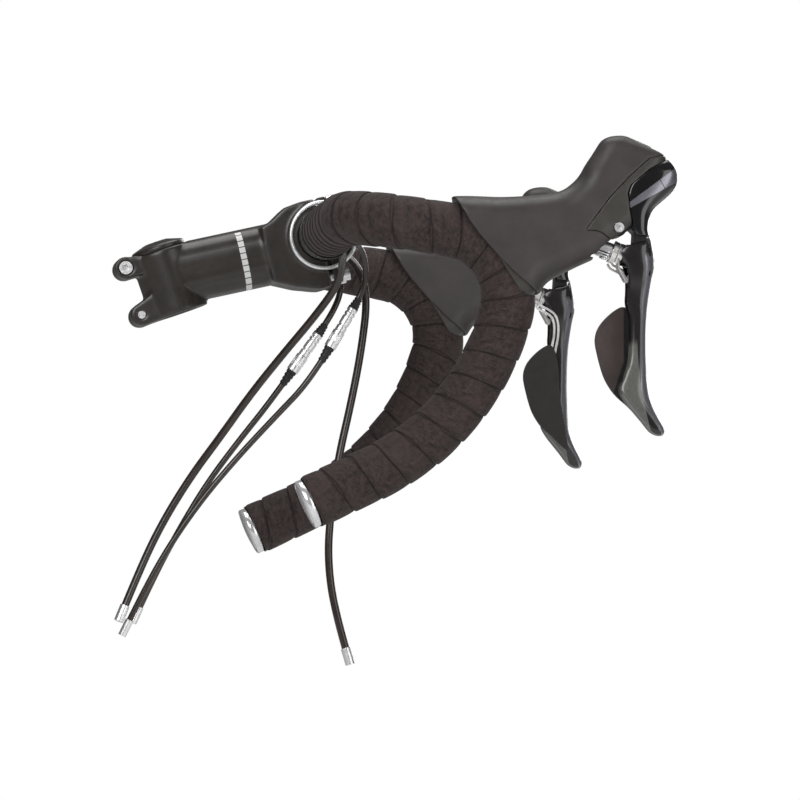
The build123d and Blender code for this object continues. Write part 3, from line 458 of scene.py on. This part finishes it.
# ---- mesh helpers --------------------------------------------------------------------------
def build(name, verts, faces, body, look, replaced=(), slot=None, smooth=True, uvs=None,
          attribute=None):
    mesh = bpy.data.meshes.new(name)
    mesh.from_pydata([tuple(v) for v in verts], [], faces)
    if uvs:
        layer = mesh.uv_layers.new(name="lap")
        for loop in mesh.loops:
            layer.data[loop.index].uv = uvs[loop.vertex_index]
    if attribute:
        label, values = attribute
        data = mesh.attributes.new(label, "FLOAT", "POINT").data
        data.foreach_set("value", values)
    if smooth:
        mesh.shade_smooth()
    piece = bpy.data.objects.new(name, mesh)
    scene.collection.objects.link(piece)
    mesh.materials.append(look)
    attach(piece, body)
    if replaced:
        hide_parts(*replaced)
    return piece


def grid_faces(rows, columns, round_columns=True, caps=False):
    faces = []
    across = columns if round_columns else columns - 1
    for i in range(rows - 1):
        for j in range(across):
            k = (j + 1) % columns
            faces.append((i * columns + j, i * columns + k, (i + 1) * columns + k,
                          (i + 1) * columns + j))
    if caps:
        faces.append(tuple(reversed(range(columns))))
        faces.append(tuple((rows - 1) * columns + j for j in range(columns)))
    return faces


def pair(name, verts, faces, body, look, replaced=(), slot=None, finish=None, **more):
    """The right-hand piece as given and its mirror image on the left."""
    made = []
    for hand in "RL":
        flip = hand == "L"
        points = [Vector((v.x, -v.y, v.z)) if flip else v for v in verts]
        loops = [tuple(reversed(f)) for f in faces] if flip else faces
        where = body if body == ROOT else f"{body}_{hand}"
        piece = build(f"{name}_{hand}", points, loops, where, look,
                      [f"{n}_{hand}" for n in replaced], slot, **more)
        if finish:
            finish(piece)
        made.append(piece)
    return made


def bevelled(piece, width=0.3, segments=2, angle=35):
    weld = piece.modifiers.new("weld", "WELD")
    weld.merge_threshold = 0.00001
    bevel = piece.modifiers.new("edges", "BEVEL")
    bevel.width, bevel.segments = width * MM, segments
    bevel.limit_method, bevel.angle_limit = "ANGLE", math.radians(angle)
    bevel.use_clamp_overlap = True
    normals = piece.modifiers.new("normals", "WEIGHTED_NORMAL")
    normals.keep_sharp = True


def softened(node, voxel, rounds, look):
    """Rounds a carried-over CAD part all over, as a forging or moulding is."""
    piece = nodes[node]
    remesh = piece.modifiers.new("even", "REMESH")
    remesh.mode, remesh.voxel_size, remesh.use_smooth_shade = "VOXEL", voxel * MM, True
    relax = piece.modifiers.new("round", "SMOOTH")
    relax.factor, relax.iterations = 0.5, rounds
    dress(node, look)


def dress(node, look, edges=0.0):
    piece = nodes[node]
    piece.data.materials.clear()
    piece.data.materials.append(looks[look])
    if edges:
        bevelled(piece, edges)


# ---- bar line ------------------------------------------------------------------------------
def bar_corners():
    ramp, lean = math.tan(math.radians(RAMP_DROP)), math.tan(math.radians(LEG_LEAN))
    grip = math.tan(math.radians(DROP_SLOPE))
    leg_x, leg_z = LEG_POINT
    top_z = -ramp * (leg_x - lean * leg_z) / (1 + ramp * lean)
    low_z = (BAR_END[1] + grip * (leg_x - lean * leg_z - BAR_END[0])) / (1 - grip * lean)
    return [
        at(0, 0, -TAPE_START), at(0, 0, -REACH_Y),
        at(leg_x + lean * (top_z - leg_z), top_z, -REACH_Y),
        at(leg_x + lean * (low_z - leg_z), low_z, -REACH_Y), at(*BAR_END, -REACH_Y),
    ]


def rounded_line(corners, radii, step):
    """Points about a step apart along straight runs joined by tangent arcs."""
    points, start = [], corners[0]
    for before, here, after, radius in zip(corners, corners[1:], corners[2:], radii):
        come, go = (here - before).normalized(), (after - here).normalized()
        turn = come.angle(go)
        cut = radius * math.tan(turn / 2)
        into, away = here - come * cut, here + go * cut
        count = max(1, round((into - start).length / step))
        points += [start.lerp(into, i / count) for i in range(count)]
        centre = here + (go - come).normalized() * (radius / math.cos(turn / 2))
        axis = come.cross(go).normalized()
        count = max(2, round(radius * turn / step))
        for i in range(count):
            points.append(centre + Matrix.Rotation(turn * i / count, 3, axis) @ (into - centre))
        start = away
    count = max(1, round((corners[-1] - start).length / step))
    points += [start.lerp(corners[-1], i / count) for i in range(count + 1)]
    return points


class Line:
    """A line with a steady frame carried along it."""

    def __init__(self, points, normal):
        self.points = points
        self.at_length = [0.0]
        for a, b in zip(points, points[1:]):
            self.at_length.append(self.at_length[-1] + (b - a).length)
        self.length = self.at_length[-1]
        self.normals = []
        last = None
        for i in range(len(points)):
            ahead = (points[min(i + 1, len(points) - 1)] - points[max(i - 1, 0)]).normalized()
            if last is not None:
                normal = last.rotation_difference(ahead) @ normal
            normal = (normal - ahead * normal.dot(ahead)).normalized()
            self.normals.append((ahead, normal.copy()))
            last = ahead

    def place(self, length):
        """Point, direction and normal at a length along the line."""
        length = min(max(length, 0.0), self.length)
        low, high = 0, len(self.points) - 1
        while high - low > 1:
            middle = (low + high) // 2
            if self.at_length[middle] <= length:
                low = middle
            else:
                high = middle
        share = (length - self.at_length[low]) / (self.at_length[high] - self.at_length[low])
        point = self.points[low].lerp(self.points[high], share)
        ahead = self.normals[low][0].lerp(self.normals[high][0], share).normalized()
        normal = self.normals[low][1].lerp(self.normals[high][1], share)
        return point, ahead, (normal - ahead * normal.dot(ahead)).normalized()


bar_line = Line(rounded_line(bar_corners(), (BEND_R * MM, HOOK_R * MM, DROP_R * MM), 1.5 * MM),
                Vector((0, 0, 1)))

# ---- wrapped tape --------------------------------------------------------------------------
LAP = 18.6  # lap pitch
LAP_SIDES = 72
TAPE_DRIFT, TAPE_SWELL, TAPE_INSET = 0.045, 0.16, 0.35  # of a lap, mm, mm
MARK_PITCH, MARK_STAGGER = 9.0, 0.37
PLAIN_START, START_R, END_R = 14, TAPE_R - 0.25, TAPE_R - 0.9
# Share of the lap's width and height above the tape's mean surface, from the edge of the lap
# before to this lap's own edge.
LAP_PROFILE = [
    (0.0, -0.95), (0.02, -0.62), (0.06, -0.40), (0.14, -0.18), (0.26, 0.0), (0.40, 0.12),
    (0.55, 0.20), (0.70, 0.26), (0.82, 0.30), (0.91, 0.30), (0.955, 0.22), (0.98, 0.05),
    (0.993, -0.30), (1.0, -0.80),
]


def wobble(a, b):
    """Slow unevenness of a hand-wound wrap, from -1 to 1."""
    return (math.sin(a * 1.7 + 0.6 * math.sin(b * 2.0 + a * 0.9))
            + 0.6 * math.sin(a * 3.1 + b * 3.0 + 1.3) + 0.4 * math.sin(b * 5.0 - a * 2.3)) / 2.0


def wrapped_tape():
    last = bar_line.length - TAPE_SHORT * MM
    laps = int(last / (LAP * MM)) + 2
    verts, uvs, rows = [], [], 0
    for lap in range(-1, laps):
        for share, height in LAP_PROFILE[:-1] if lap < laps - 1 else LAP_PROFILE:
            rows += 1
            for j in range(LAP_SIDES + 1):
                turn = j / LAP_SIDES
                drift = TAPE_DRIFT * wobble(lap * 0.8 + turn * 0.8, turn * 2 * math.pi)
                length = (lap + share + turn + drift) * LAP * MM
                length = min(max(length, 0.0), last)
                point, ahead, normal = bar_line.place(length)
                side = ahead.cross(normal)
                angle = 2 * math.pi * turn
                out = normal * math.cos(angle) + side * math.sin(angle)
                swell = TAPE_SWELL * wobble(lap * 1.1 + share, angle)
                radius = TAPE_R - TAPE_INSET + height + swell
                near_start = max(0.0, 1 - length / (PLAIN_START * MM))
                radius = radius * (1 - near_start) + START_R * near_start
                if length <= 0 or length >= last:
                    radius = min(radius, END_R)
                verts.append(point + out * (radius * MM))
                uvs.append((turn * 2 * math.pi * TAPE_R / MARK_PITCH + lap * MARK_STAGGER, share))
    columns = LAP_SIDES + 1
    return verts, grid_faces(rows, columns, round_columns=False), uvs


def close_tape(piece):
    """Joins the laps into one skin, closes its two ends and drops what has no area."""
    mesh = bmesh.new()
    mesh.from_mesh(piece.data)
    bmesh.ops.remove_doubles(mesh, verts=mesh.verts, dist=0.00002)
    bmesh.ops.dissolve_degenerate(mesh, edges=mesh.edges, dist=0.00001)
    rims = [e for e in mesh.edges if e.is_boundary]
    bmesh.ops.holes_fill(mesh, edges=rims, sides=0)
    bmesh.ops.recalc_face_normals(mesh, faces=mesh.faces)
    mesh.to_mesh(piece.data)
    mesh.free()
    piece.data.shade_smooth()


tape_verts, tape_faces, tape_uvs = wrapped_tape()
for tape in pair("wrapped_tape", tape_verts, tape_faces, ROOT, looks["tape"], ["bar_tape"],
                 "tape_foam", finish=close_tape, uvs=tape_uvs):
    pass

# ---- end plugs -----------------------------------------------------------------------------
grip_out = Vector((-math.cos(math.radians(DROP_SLOPE)), 0, -math.sin(math.radians(DROP_SLOPE))))
PLUG_PROFILE = [  # radius, distance beyond the bar's end
    (0.0, -19.5), (8.6, -19.5), (9.6, -18.6), (9.6, -3.4), (15.0, -3.4), (15.5, -2.9),
    (15.6, 0.2), (15.3, 0.8), (14.7, 1.1), (13.9, 1.1), (13.5, 0.8), (13.1, 0.7), (12.6, 1.0),
    (11.2, 1.45), (9.0, 1.8), (6.0, 2.05), (3.0, 2.15), (0.9, 2.2), (0.0, 2.2),
]


def turned(profile, start, direction, sides=64):
    """Surface turned round an axis, from (radius, distance along the axis)."""
    across = direction.orthogonal().normalized()
    other = direction.cross(across)
    verts = []
    for radius, along in profile:
        for j in range(sides):
            angle = 2 * math.pi * j / sides
            out = across * math.cos(angle) + other * math.sin(angle)
            verts.append(start + direction * (along * MM) + out * (radius * MM))
    return verts, grid_faces(len(profile), sides)


def tidy_skin(piece):
    mesh = bmesh.new()
    mesh.from_mesh(piece.data)
    bmesh.ops.remove_doubles(mesh, verts=mesh.verts, dist=0.00001)
    bmesh.ops.dissolve_degenerate(mesh, edges=mesh.edges, dist=0.000005)
    bmesh.ops.recalc_face_normals(mesh, faces=mesh.faces)
    mesh.to_mesh(piece.data)
    mesh.free()
    piece.data.shade_smooth()


pair("end_cap", *turned(PLUG_PROFILE, at(*BAR_END, -REACH_Y), grip_out), ROOT, looks["plug"],
     ["end_plug"], "plug", finish=tidy_skin)

# ---- hoods and brackets --------------------------------------------------------------------
for hand in "RL":
    softened(f"lever_hood_{hand}", 0.55, 18, "hood")
    softened(f"lever_bracket_{hand}", 0.55, 6, "bracket")


# ---- lofted lever parts --------------------------------------------------------------------
def loft(stations, section):
    """Loops through stations of (rear point, front point, half width, shift outward).

    section lists (share from rear to front, share of half width) once round.
    """
    verts = []
    for rear, front, half, shift in stations:
        for ahead, aside in section:
            x = rear[0] + (front[0] - rear[0]) * ahead
            z = rear[1] + (front[1] - rear[1]) * ahead
            verts.append(at(x, z, -REACH_Y - shift + aside * half))
    return verts, grid_faces(len(stations), len(section), caps=True)


def smooth_way(points, steps, closed=False):
    """Catmull-Rom through points of any size."""
    count = len(points)
    made = []
    for i in range(count if closed else count - 1):
        near = [(i + k) % count if closed else min(max(i + k, 0), count - 1) for k in (-1, 0, 1, 2)]
        p0, p1, p2, p3 = (points[k] for k in near)
        for k in range(steps):
            t = k / steps
            made.append(tuple(
                0.5 * (2 * b + (c - a) * t + (2 * a - 5 * b + 4 * c - d) * t * t
                       + (3 * b - a - 3 * c + d) * t ** 3)
                for a, b, c, d in zip(p0, p1, p2, p3)))
    return made if closed else made + [tuple(points[-1])]


def between(stations, steps):
    """Smooth stations in between."""
    flat = [(*rear, *front, half, shift) for rear, front, half, shift in stations]
    return [((m[0], m[1]), (m[2], m[3]), m[4], m[5]) for m in smooth_way(flat, steps)]


BLADE_STATIONS = [
    ((184.2, -13.7), (185.5, -13.7), 2.4, 0.0),
    ((180.5, -15.2), (186.0, -14.3), 6.8, 0.0),
    ((176.5, -16.9), (186.4, -15.6), 9.4, 0.0),
    ((172.2, -18.5), (186.9, -18.0), 10.9, 0.0),
    ((168.4, -19.9), (187.5, -21.5), 11.7, 0.0),
    ((166.1, -23.0), (188.1, -25.5), 12.0, 0.0),
    ((167.4, -27.5), (188.3, -29.5), 12.0, 0.0),
    ((169.6, -32.2), (188.0, -33.0), 11.9, 0.0),
    ((170.9, -39.0), (186.6, -38.8), 11.2, 0.0),
    ((170.9, -47.0), (185.2, -46.6), 9.8, 0.0),
    ((170.6, -54.6), (184.1, -54.6), 8.9, 0.0),
    ((172.6, -63.0), (183.4, -63.0), 8.5, 0.1),
    ((173.0, -72.0), (183.0, -72.0), 8.3, 0.3),
    ((172.8, -82.0), (182.9, -82.5), 8.3, 0.6),
    ((171.8, -91.5), (183.1, -93.0), 8.4, 0.9),
    ((168.8, -100.5), (183.5, -103.0), 8.6, 1.5),
    ((166.1, -108.5), (184.7, -111.8), 8.8, 2.4),
    ((169.6, -115.6), (187.2, -119.2), 8.8, 3.4),
    ((175.0, -122.3), (190.0, -125.2), 8.4, 4.6),
    ((179.6, -128.0), (192.2, -129.4), 7.7, 5.6),
    ((181.8, -131.0), (193.3, -131.8), 7.2, 6.1),
    ((184.4, -134.2), (193.5, -134.0), 6.5, 6.5),
    ((187.0, -136.0), (193.0, -135.8), 5.2, 6.8),
    ((189.2, -136.9), (192.2, -136.8), 2.8, 7.0),
]
BLADE_SECTION = [
    (0.0, -0.70), (0.0, -0.35), (0.0, 0.0), (0.0, 0.35), (0.0, 0.70), (0.03, 0.90), (0.10, 0.98),
    (0.30, 1.0), (0.50, 1.0), (0.62, 0.98), (0.70, 0.94), (0.80, 0.84), (0.89, 0.68),
    (0.96, 0.44), (0.995, 0.20), (1.0, 0.0), (0.995, -0.20), (0.96, -0.44), (0.89, -0.68),
    (0.80, -0.84), (0.70, -0.94), (0.62, -0.98), (0.50, -1.0), (0.30, -1.0), (0.10, -0.98),
    (0.03, -0.90),
]


def cut(piece, *outlines):
    """Cuts side-view outlines of (points, half width) out of a piece, right through."""
    side = -1 if piece.name.endswith("_R") else 1
    for outline, half in outlines:
        count = len(outline)
        verts = [at(x, z, side * REACH_Y + y) for y in (-half, half) for x, z in outline]
        faces = [tuple(range(count)), tuple(reversed(range(count, 2 * count)))]
        faces += [(i, i + count, (i + 1) % count + count, (i + 1) % count) for i in range(count)]
        mesh = bpy.data.meshes.new("cutter")
        mesh.from_pydata([tuple(v) for v in verts], [], faces)
        shape = bmesh.new()
        shape.from_mesh(mesh)
        bmesh.ops.recalc_face_normals(shape, faces=shape.faces)
        shape.to_mesh(mesh)
        shape.free()
        cutter = bpy.data.objects.new("cutter", mesh)
        scene.collection.objects.link(cutter)
        difference = piece.modifiers.new("cut", "BOOLEAN")
        difference.operation, difference.solver, difference.object = "DIFFERENCE", "EXACT", cutter
        bpy.context.view_layer.update()
        graph = bpy.context.evaluated_depsgraph_get()
        result = bpy.data.meshes.new_from_object(piece.evaluated_get(graph))
        piece.modifiers.clear()
        piece.data = result
        bpy.data.objects.remove(cutter)
    piece.data.shade_smooth()


FORK = [(150, -8), (184.2, -8), (184.5, -37.6), (150, -37.6)]
CHANNEL = [(150, -37.6), (181, -37.6), (181, -57), (179.4, -70), (179.4, -103), (150, -103)]


def finish_blade(piece):
    tidy_skin(piece)
    cut(piece, (FORK, 9.5), (CHANNEL, 6.4))
    bevelled(piece, 0.3, 2, 40)


stations = between(BLADE_STATIONS, 4)
verts, faces = loft(stations, BLADE_SECTION)
forward = [share for _ in stations for share, _ in BLADE_SECTION]
pair("lever_blade", verts, faces, "blade", looks["blade"], ["brake_blade"], "blade_alloy",
     finish=finish_blade, attribute=("forward", forward))

PLATE_STATIONS = [
    ((196.6, 34.4), (197.6, 33.6), 5.0, 0.0),
    ((194.0, 33.4), (200.2, 31.2), 8.2, 0.0),
    ((189.5, 31.0), (202.3, 27.8), 10.6, 0.0),
    ((184.2, 28.0), (203.1, 24.0), 12.0, 0.0),
    ((178.0, 23.2), (202.4, 19.8), 12.8, 0.0),
    ((173.0, 18.8), (200.2, 15.6), 13.2, 0.0),
    ((170.8, 13.2), (196.8, 11.9), 13.2, 0.0),
    ((170.9, 7.5), (192.2, 8.0), 13.1, 0.0),
    ((171.5, 2.4), (187.9, 3.9), 13.0, 0.0),
    ((172.5, -1.8), (185.6, -0.6), 12.8, 0.0),
    ((173.6, -5.6), (184.7, -5.0), 12.6, 0.0),
    ((174.4, -9.5), (184.4, -9.4), 12.3, 0.0),
    ((175.6, -12.6), (185.2, -13.2), 11.8, 0.0),
]
PLATE_SECTION = [
    (0.0, -0.90), (0.0, -0.3), (0.0, 0.3), (0.0, 0.90), (0.02, 0.97), (0.07, 1.0), (0.25, 1.0),
    (0.45, 0.99), (0.60, 0.96), (0.72, 0.90), (0.82, 0.80), (0.90, 0.65), (0.96, 0.44),
    (0.99, 0.22), (1.0, 0.0), (0.99, -0.22), (0.96, -0.44), (0.90, -0.65), (0.82, -0.80),
    (0.72, -0.90), (0.60, -0.96), (0.45, -0.99), (0.25, -1.0), (0.07, -1.0), (0.02, -0.97),
]


stations = between(PLATE_STATIONS, 5)
verts, faces = loft(stations, PLATE_SECTION)
PLATE_HOLLOW = [(150, 6), (176, 8.5), (186, 18), (193, 22), (195, 19), (188, 10), (183.2, 3),
                (182.2, -30), (150, -30)]


def finish_plate(piece):
    tidy_skin(piece)
    cut(piece, (PLATE_HOLLOW, 9.2))
    bevelled(piece, 0.3, 2, 40)


pair("lever_cover", verts, faces, "lever_head", looks["plate"], ["name_plate"], "gloss_cover",
     finish=finish_plate)

# ---- the rest of the levers ----------------------------------------------------------------
for hand in "RL":
    dress(f"pivot_pin_{hand}", "bright", 0.3)
    dress(f"clamp_band_{hand}", "steel", 0.2)
    dress(f"band_bolt_{hand}", "bolt", 0.2)
    dress(f"brake_carrier_{hand}", "carrier", 0.35)
    dress(f"shift_axle_{hand}", "bolt", 0.25)
    dress(f"cable_drum_{hand}", "works", 0.3)
    dress(f"blade_link_{hand}", "steel", 0.2)
    dress(f"finishing_tape_{hand}", "finishing", 0.15)

# Works of the shifter: thin plates lying along the axle, each (distance below the axle, first and
# last place along it, half width).
AXLE_TILT = math.radians(20)
AXLE_POINT = (176.0, -27.0)
CLICK_PLATES = [(2.2, -26.6, -15.3, 6.6), (3.9, -26.2, -15.3, 5.9), (5.4, -24.6, -15.6, 4.6),
                (6.5, -21.0, -16.4, 3.0)]
PLATE_THICK = 0.75
CORE_ENDS, CORE_R = (-26.8, -15.2), 4.3
PLATE_CORNER = 2.4


def on_axle(along, below, aside):
    return at(AXLE_POINT[0] + along * math.cos(AXLE_TILT) - below * math.sin(AXLE_TILT),
              AXLE_POINT[1] - along * math.sin(AXLE_TILT) - below * math.cos(AXLE_TILT),
              -REACH_Y + aside)


def click_plates():
    """The core's ring of points and each plate's rounded outline, carried through its thickness."""
    verts, faces = [], []
    sides = 40
    for along in CORE_ENDS:
        for j in range(sides):
            angle = 2 * math.pi * j / sides
            verts.append(on_axle(along, CORE_R * math.cos(angle), CORE_R * math.sin(angle)))
    faces += grid_faces(2, sides, caps=True)
    for below, first, last, half in CLICK_PLATES:
        start, corner = len(verts), min(PLATE_CORNER, half * 0.8)
        outline = []
        for turn, (mid, wide) in enumerate(((last - corner, half - corner),
                                            (first + corner, half - corner),
                                            (first + corner, corner - half),
                                            (last - corner, corner - half))):
            for step in range(7):
                angle = math.pi / 2 * (turn + step / 6)
                outline.append((mid + corner * math.cos(angle), wide + corner * math.sin(angle)))
        for level in (below - PLATE_THICK / 2, below + PLATE_THICK / 2):
            verts += [on_axle(along, level, aside) for along, aside in outline]
        faces += [tuple(start + i for i in face)
                  for face in grid_faces(2, len(outline), caps=True)]
    return verts, faces


def outward(piece):
    mesh = bmesh.new()
    mesh.from_mesh(piece.data)
    bmesh.ops.remove_doubles(mesh, verts=mesh.verts, dist=0.00001)
    bmesh.ops.recalc_face_normals(mesh, faces=mesh.faces)
    mesh.to_mesh(piece.data)
    mesh.free()


def finish_plates(piece):
    outward(piece)
    bevelled(piece, 0.15, 2, 40)


pair("click_plates", *click_plates(), "drum", looks["bright"], ["ratchet_plates"], "plate_steel",
     finish=finish_plates, smooth=False)

# The arm's way down to the paddle, as (x, z, distance inward of the bar's end run).
ARM_WAY = [
    (162.0, -28.6, 12.8), (163.4, -31.2, 12.9), (167.8, -33.4, 12.9), (172.4, -36.8, 12.9),
    (174.4, -42.5, 12.6), (174.4, -50.0, 11.6), (173.2, -57.0, 11.3), (171.5, -66.0, 11.3),
]
ARM_BARS = (-1.35, 1.35)
ARM_BAR_W, ARM_THICK = 1.5, 1.0
CROSSPIECE_SIDES, CROSSPIECE_BELOW = (2.0, 13.3), (5.0, 6.4)
BOSS_AT, BOSS_L, BOSS_R, BOSS_BORE = -14.8, 3.2, 6.5, 2.95
PADDLE = [
    (171.0, -56.5), (164.0, -59.0), (155.7, -67.4), (152.6, -76.0), (154.0, -86.0),
    (157.7, -99.0), (162.0, -107.0), (166.5, -112.4), (172.5, -117.6), (179.0, -124.0),
    (182.2, -124.8), (180.5, -112.0), (177.0, -90.0), (175.2, -66.0),
]
PADDLE_SIDES = (9.4, 13.2)


def shift_arm():
    """Boss on the axle, a crosspiece past the blade's cheek and two thin bars down from it."""
    axle = Vector((math.cos(AXLE_TILT), 0, -math.sin(AXLE_TILT)))
    ring = [(BOSS_BORE, 0), (BOSS_R, 0), (BOSS_R, BOSS_L), (BOSS_BORE, BOSS_L), (BOSS_BORE, 0)]
    verts, faces = turned(ring, on_axle(BOSS_AT, 0, 0), axle, 48)
    start = len(verts)
    top, bottom = CROSSPIECE_BELOW
    for aside in CROSSPIECE_SIDES:
        for along, below in ((0, top), (0, bottom), (BOSS_L, bottom), (BOSS_L, top)):
            verts.append(on_axle(BOSS_AT + along, below, aside))
    faces += [tuple(start + i for i in face) for face in grid_faces(2, 4, caps=True)]
    way = smooth_way(ARM_WAY, 5)
    for offset in ARM_BARS:
        start = len(verts)
        for i, (x, z, aside) in enumerate(way):
            before, after = way[max(i - 1, 0)], way[min(i + 1, len(way) - 1)]
            run, rise = after[0] - before[0], after[1] - before[1]
            size = math.hypot(run, rise)
            square = (-rise / size, run / size)
            for half, level in ((-1, -1), (1, -1), (1, 1), (-1, 1)):
                over = offset + half * ARM_BAR_W / 2
                verts.append(at(x + square[0] * over, z + square[1] * over,
                                -REACH_Y + aside + level * ARM_THICK / 2))
        faces += [tuple(start + i for i in face) for face in grid_faces(len(way), 4, caps=True)]
    return verts, faces


def paddle_plate():
    outline = smooth_way(PADDLE, 5, closed=True)
    verts = [at(x, z, -REACH_Y + aside) for aside in PADDLE_SIDES for x, z in outline]
    return verts, grid_faces(2, len(outline), caps=True)


def finish_paddle(piece):
    outward(piece)
    bevelled(piece, 1.1, 4, 40)


pair("shift_arm", *shift_arm(), "paddle", looks["steel"], ["paddle_arm"], "plate_steel",
     finish=finish_plates, smooth=False)
pair("shift_paddle", *paddle_plate(), "paddle", looks["paddle"], ["paddle_tip"],
     "paddle_plastic", finish=finish_paddle)

# ---- stem ----------------------------------------------------------------------------------
softened("stem_body", 0.7, 32, "stem")
softened("stem_faceplate", 0.45, 5, "stem")
dress("faceplate_bolts", "bright", 0.4)
dress("steerer_clamp_bolts", "bright", 0.4)
softened("top_cap", 0.4, 4, "stem")
dress("top_cap_bolt", "bolt", 0.3)
dress("handlebar_tube", "bar")
CLAMP_FACE_Y = 22.0
CLAMP_RIM = [(19.9, 0.4), (19.9, 1.0), (20.3, 1.35), (21.4, 1.35), (22.2, 0.7), (22.35, 0.0),
             (22.35, -1.2), (19.9, -1.2), (19.9, 0.4)]
for hand, side in (("R", -1), ("L", 1)):
    verts, faces = turned(CLAMP_RIM, at(0, 0, side * CLAMP_FACE_Y), Vector((0, side, 0)), 96)
    piece = build(f"clamp_rim_{hand}", verts, faces, ROOT, looks["bright"], slot="bolt_steel")
    tidy_skin(piece)

# ---- housings' fittings --------------------------------------------------------------------
for name in ("rear_brake", "front_brake", "rear_shift", "front_shift"):
    dress(f"{name}_ferrule", "bright", 0.2)
for name in ("rear_shift", "front_shift"):
    dress(f"{name}_adjuster_body", "bright", 0.25)
    dress(f"{name}_adjuster_barrel", "bright", 0.2)
    dress(f"{name}_adjuster_boots", "boot", 0.2)
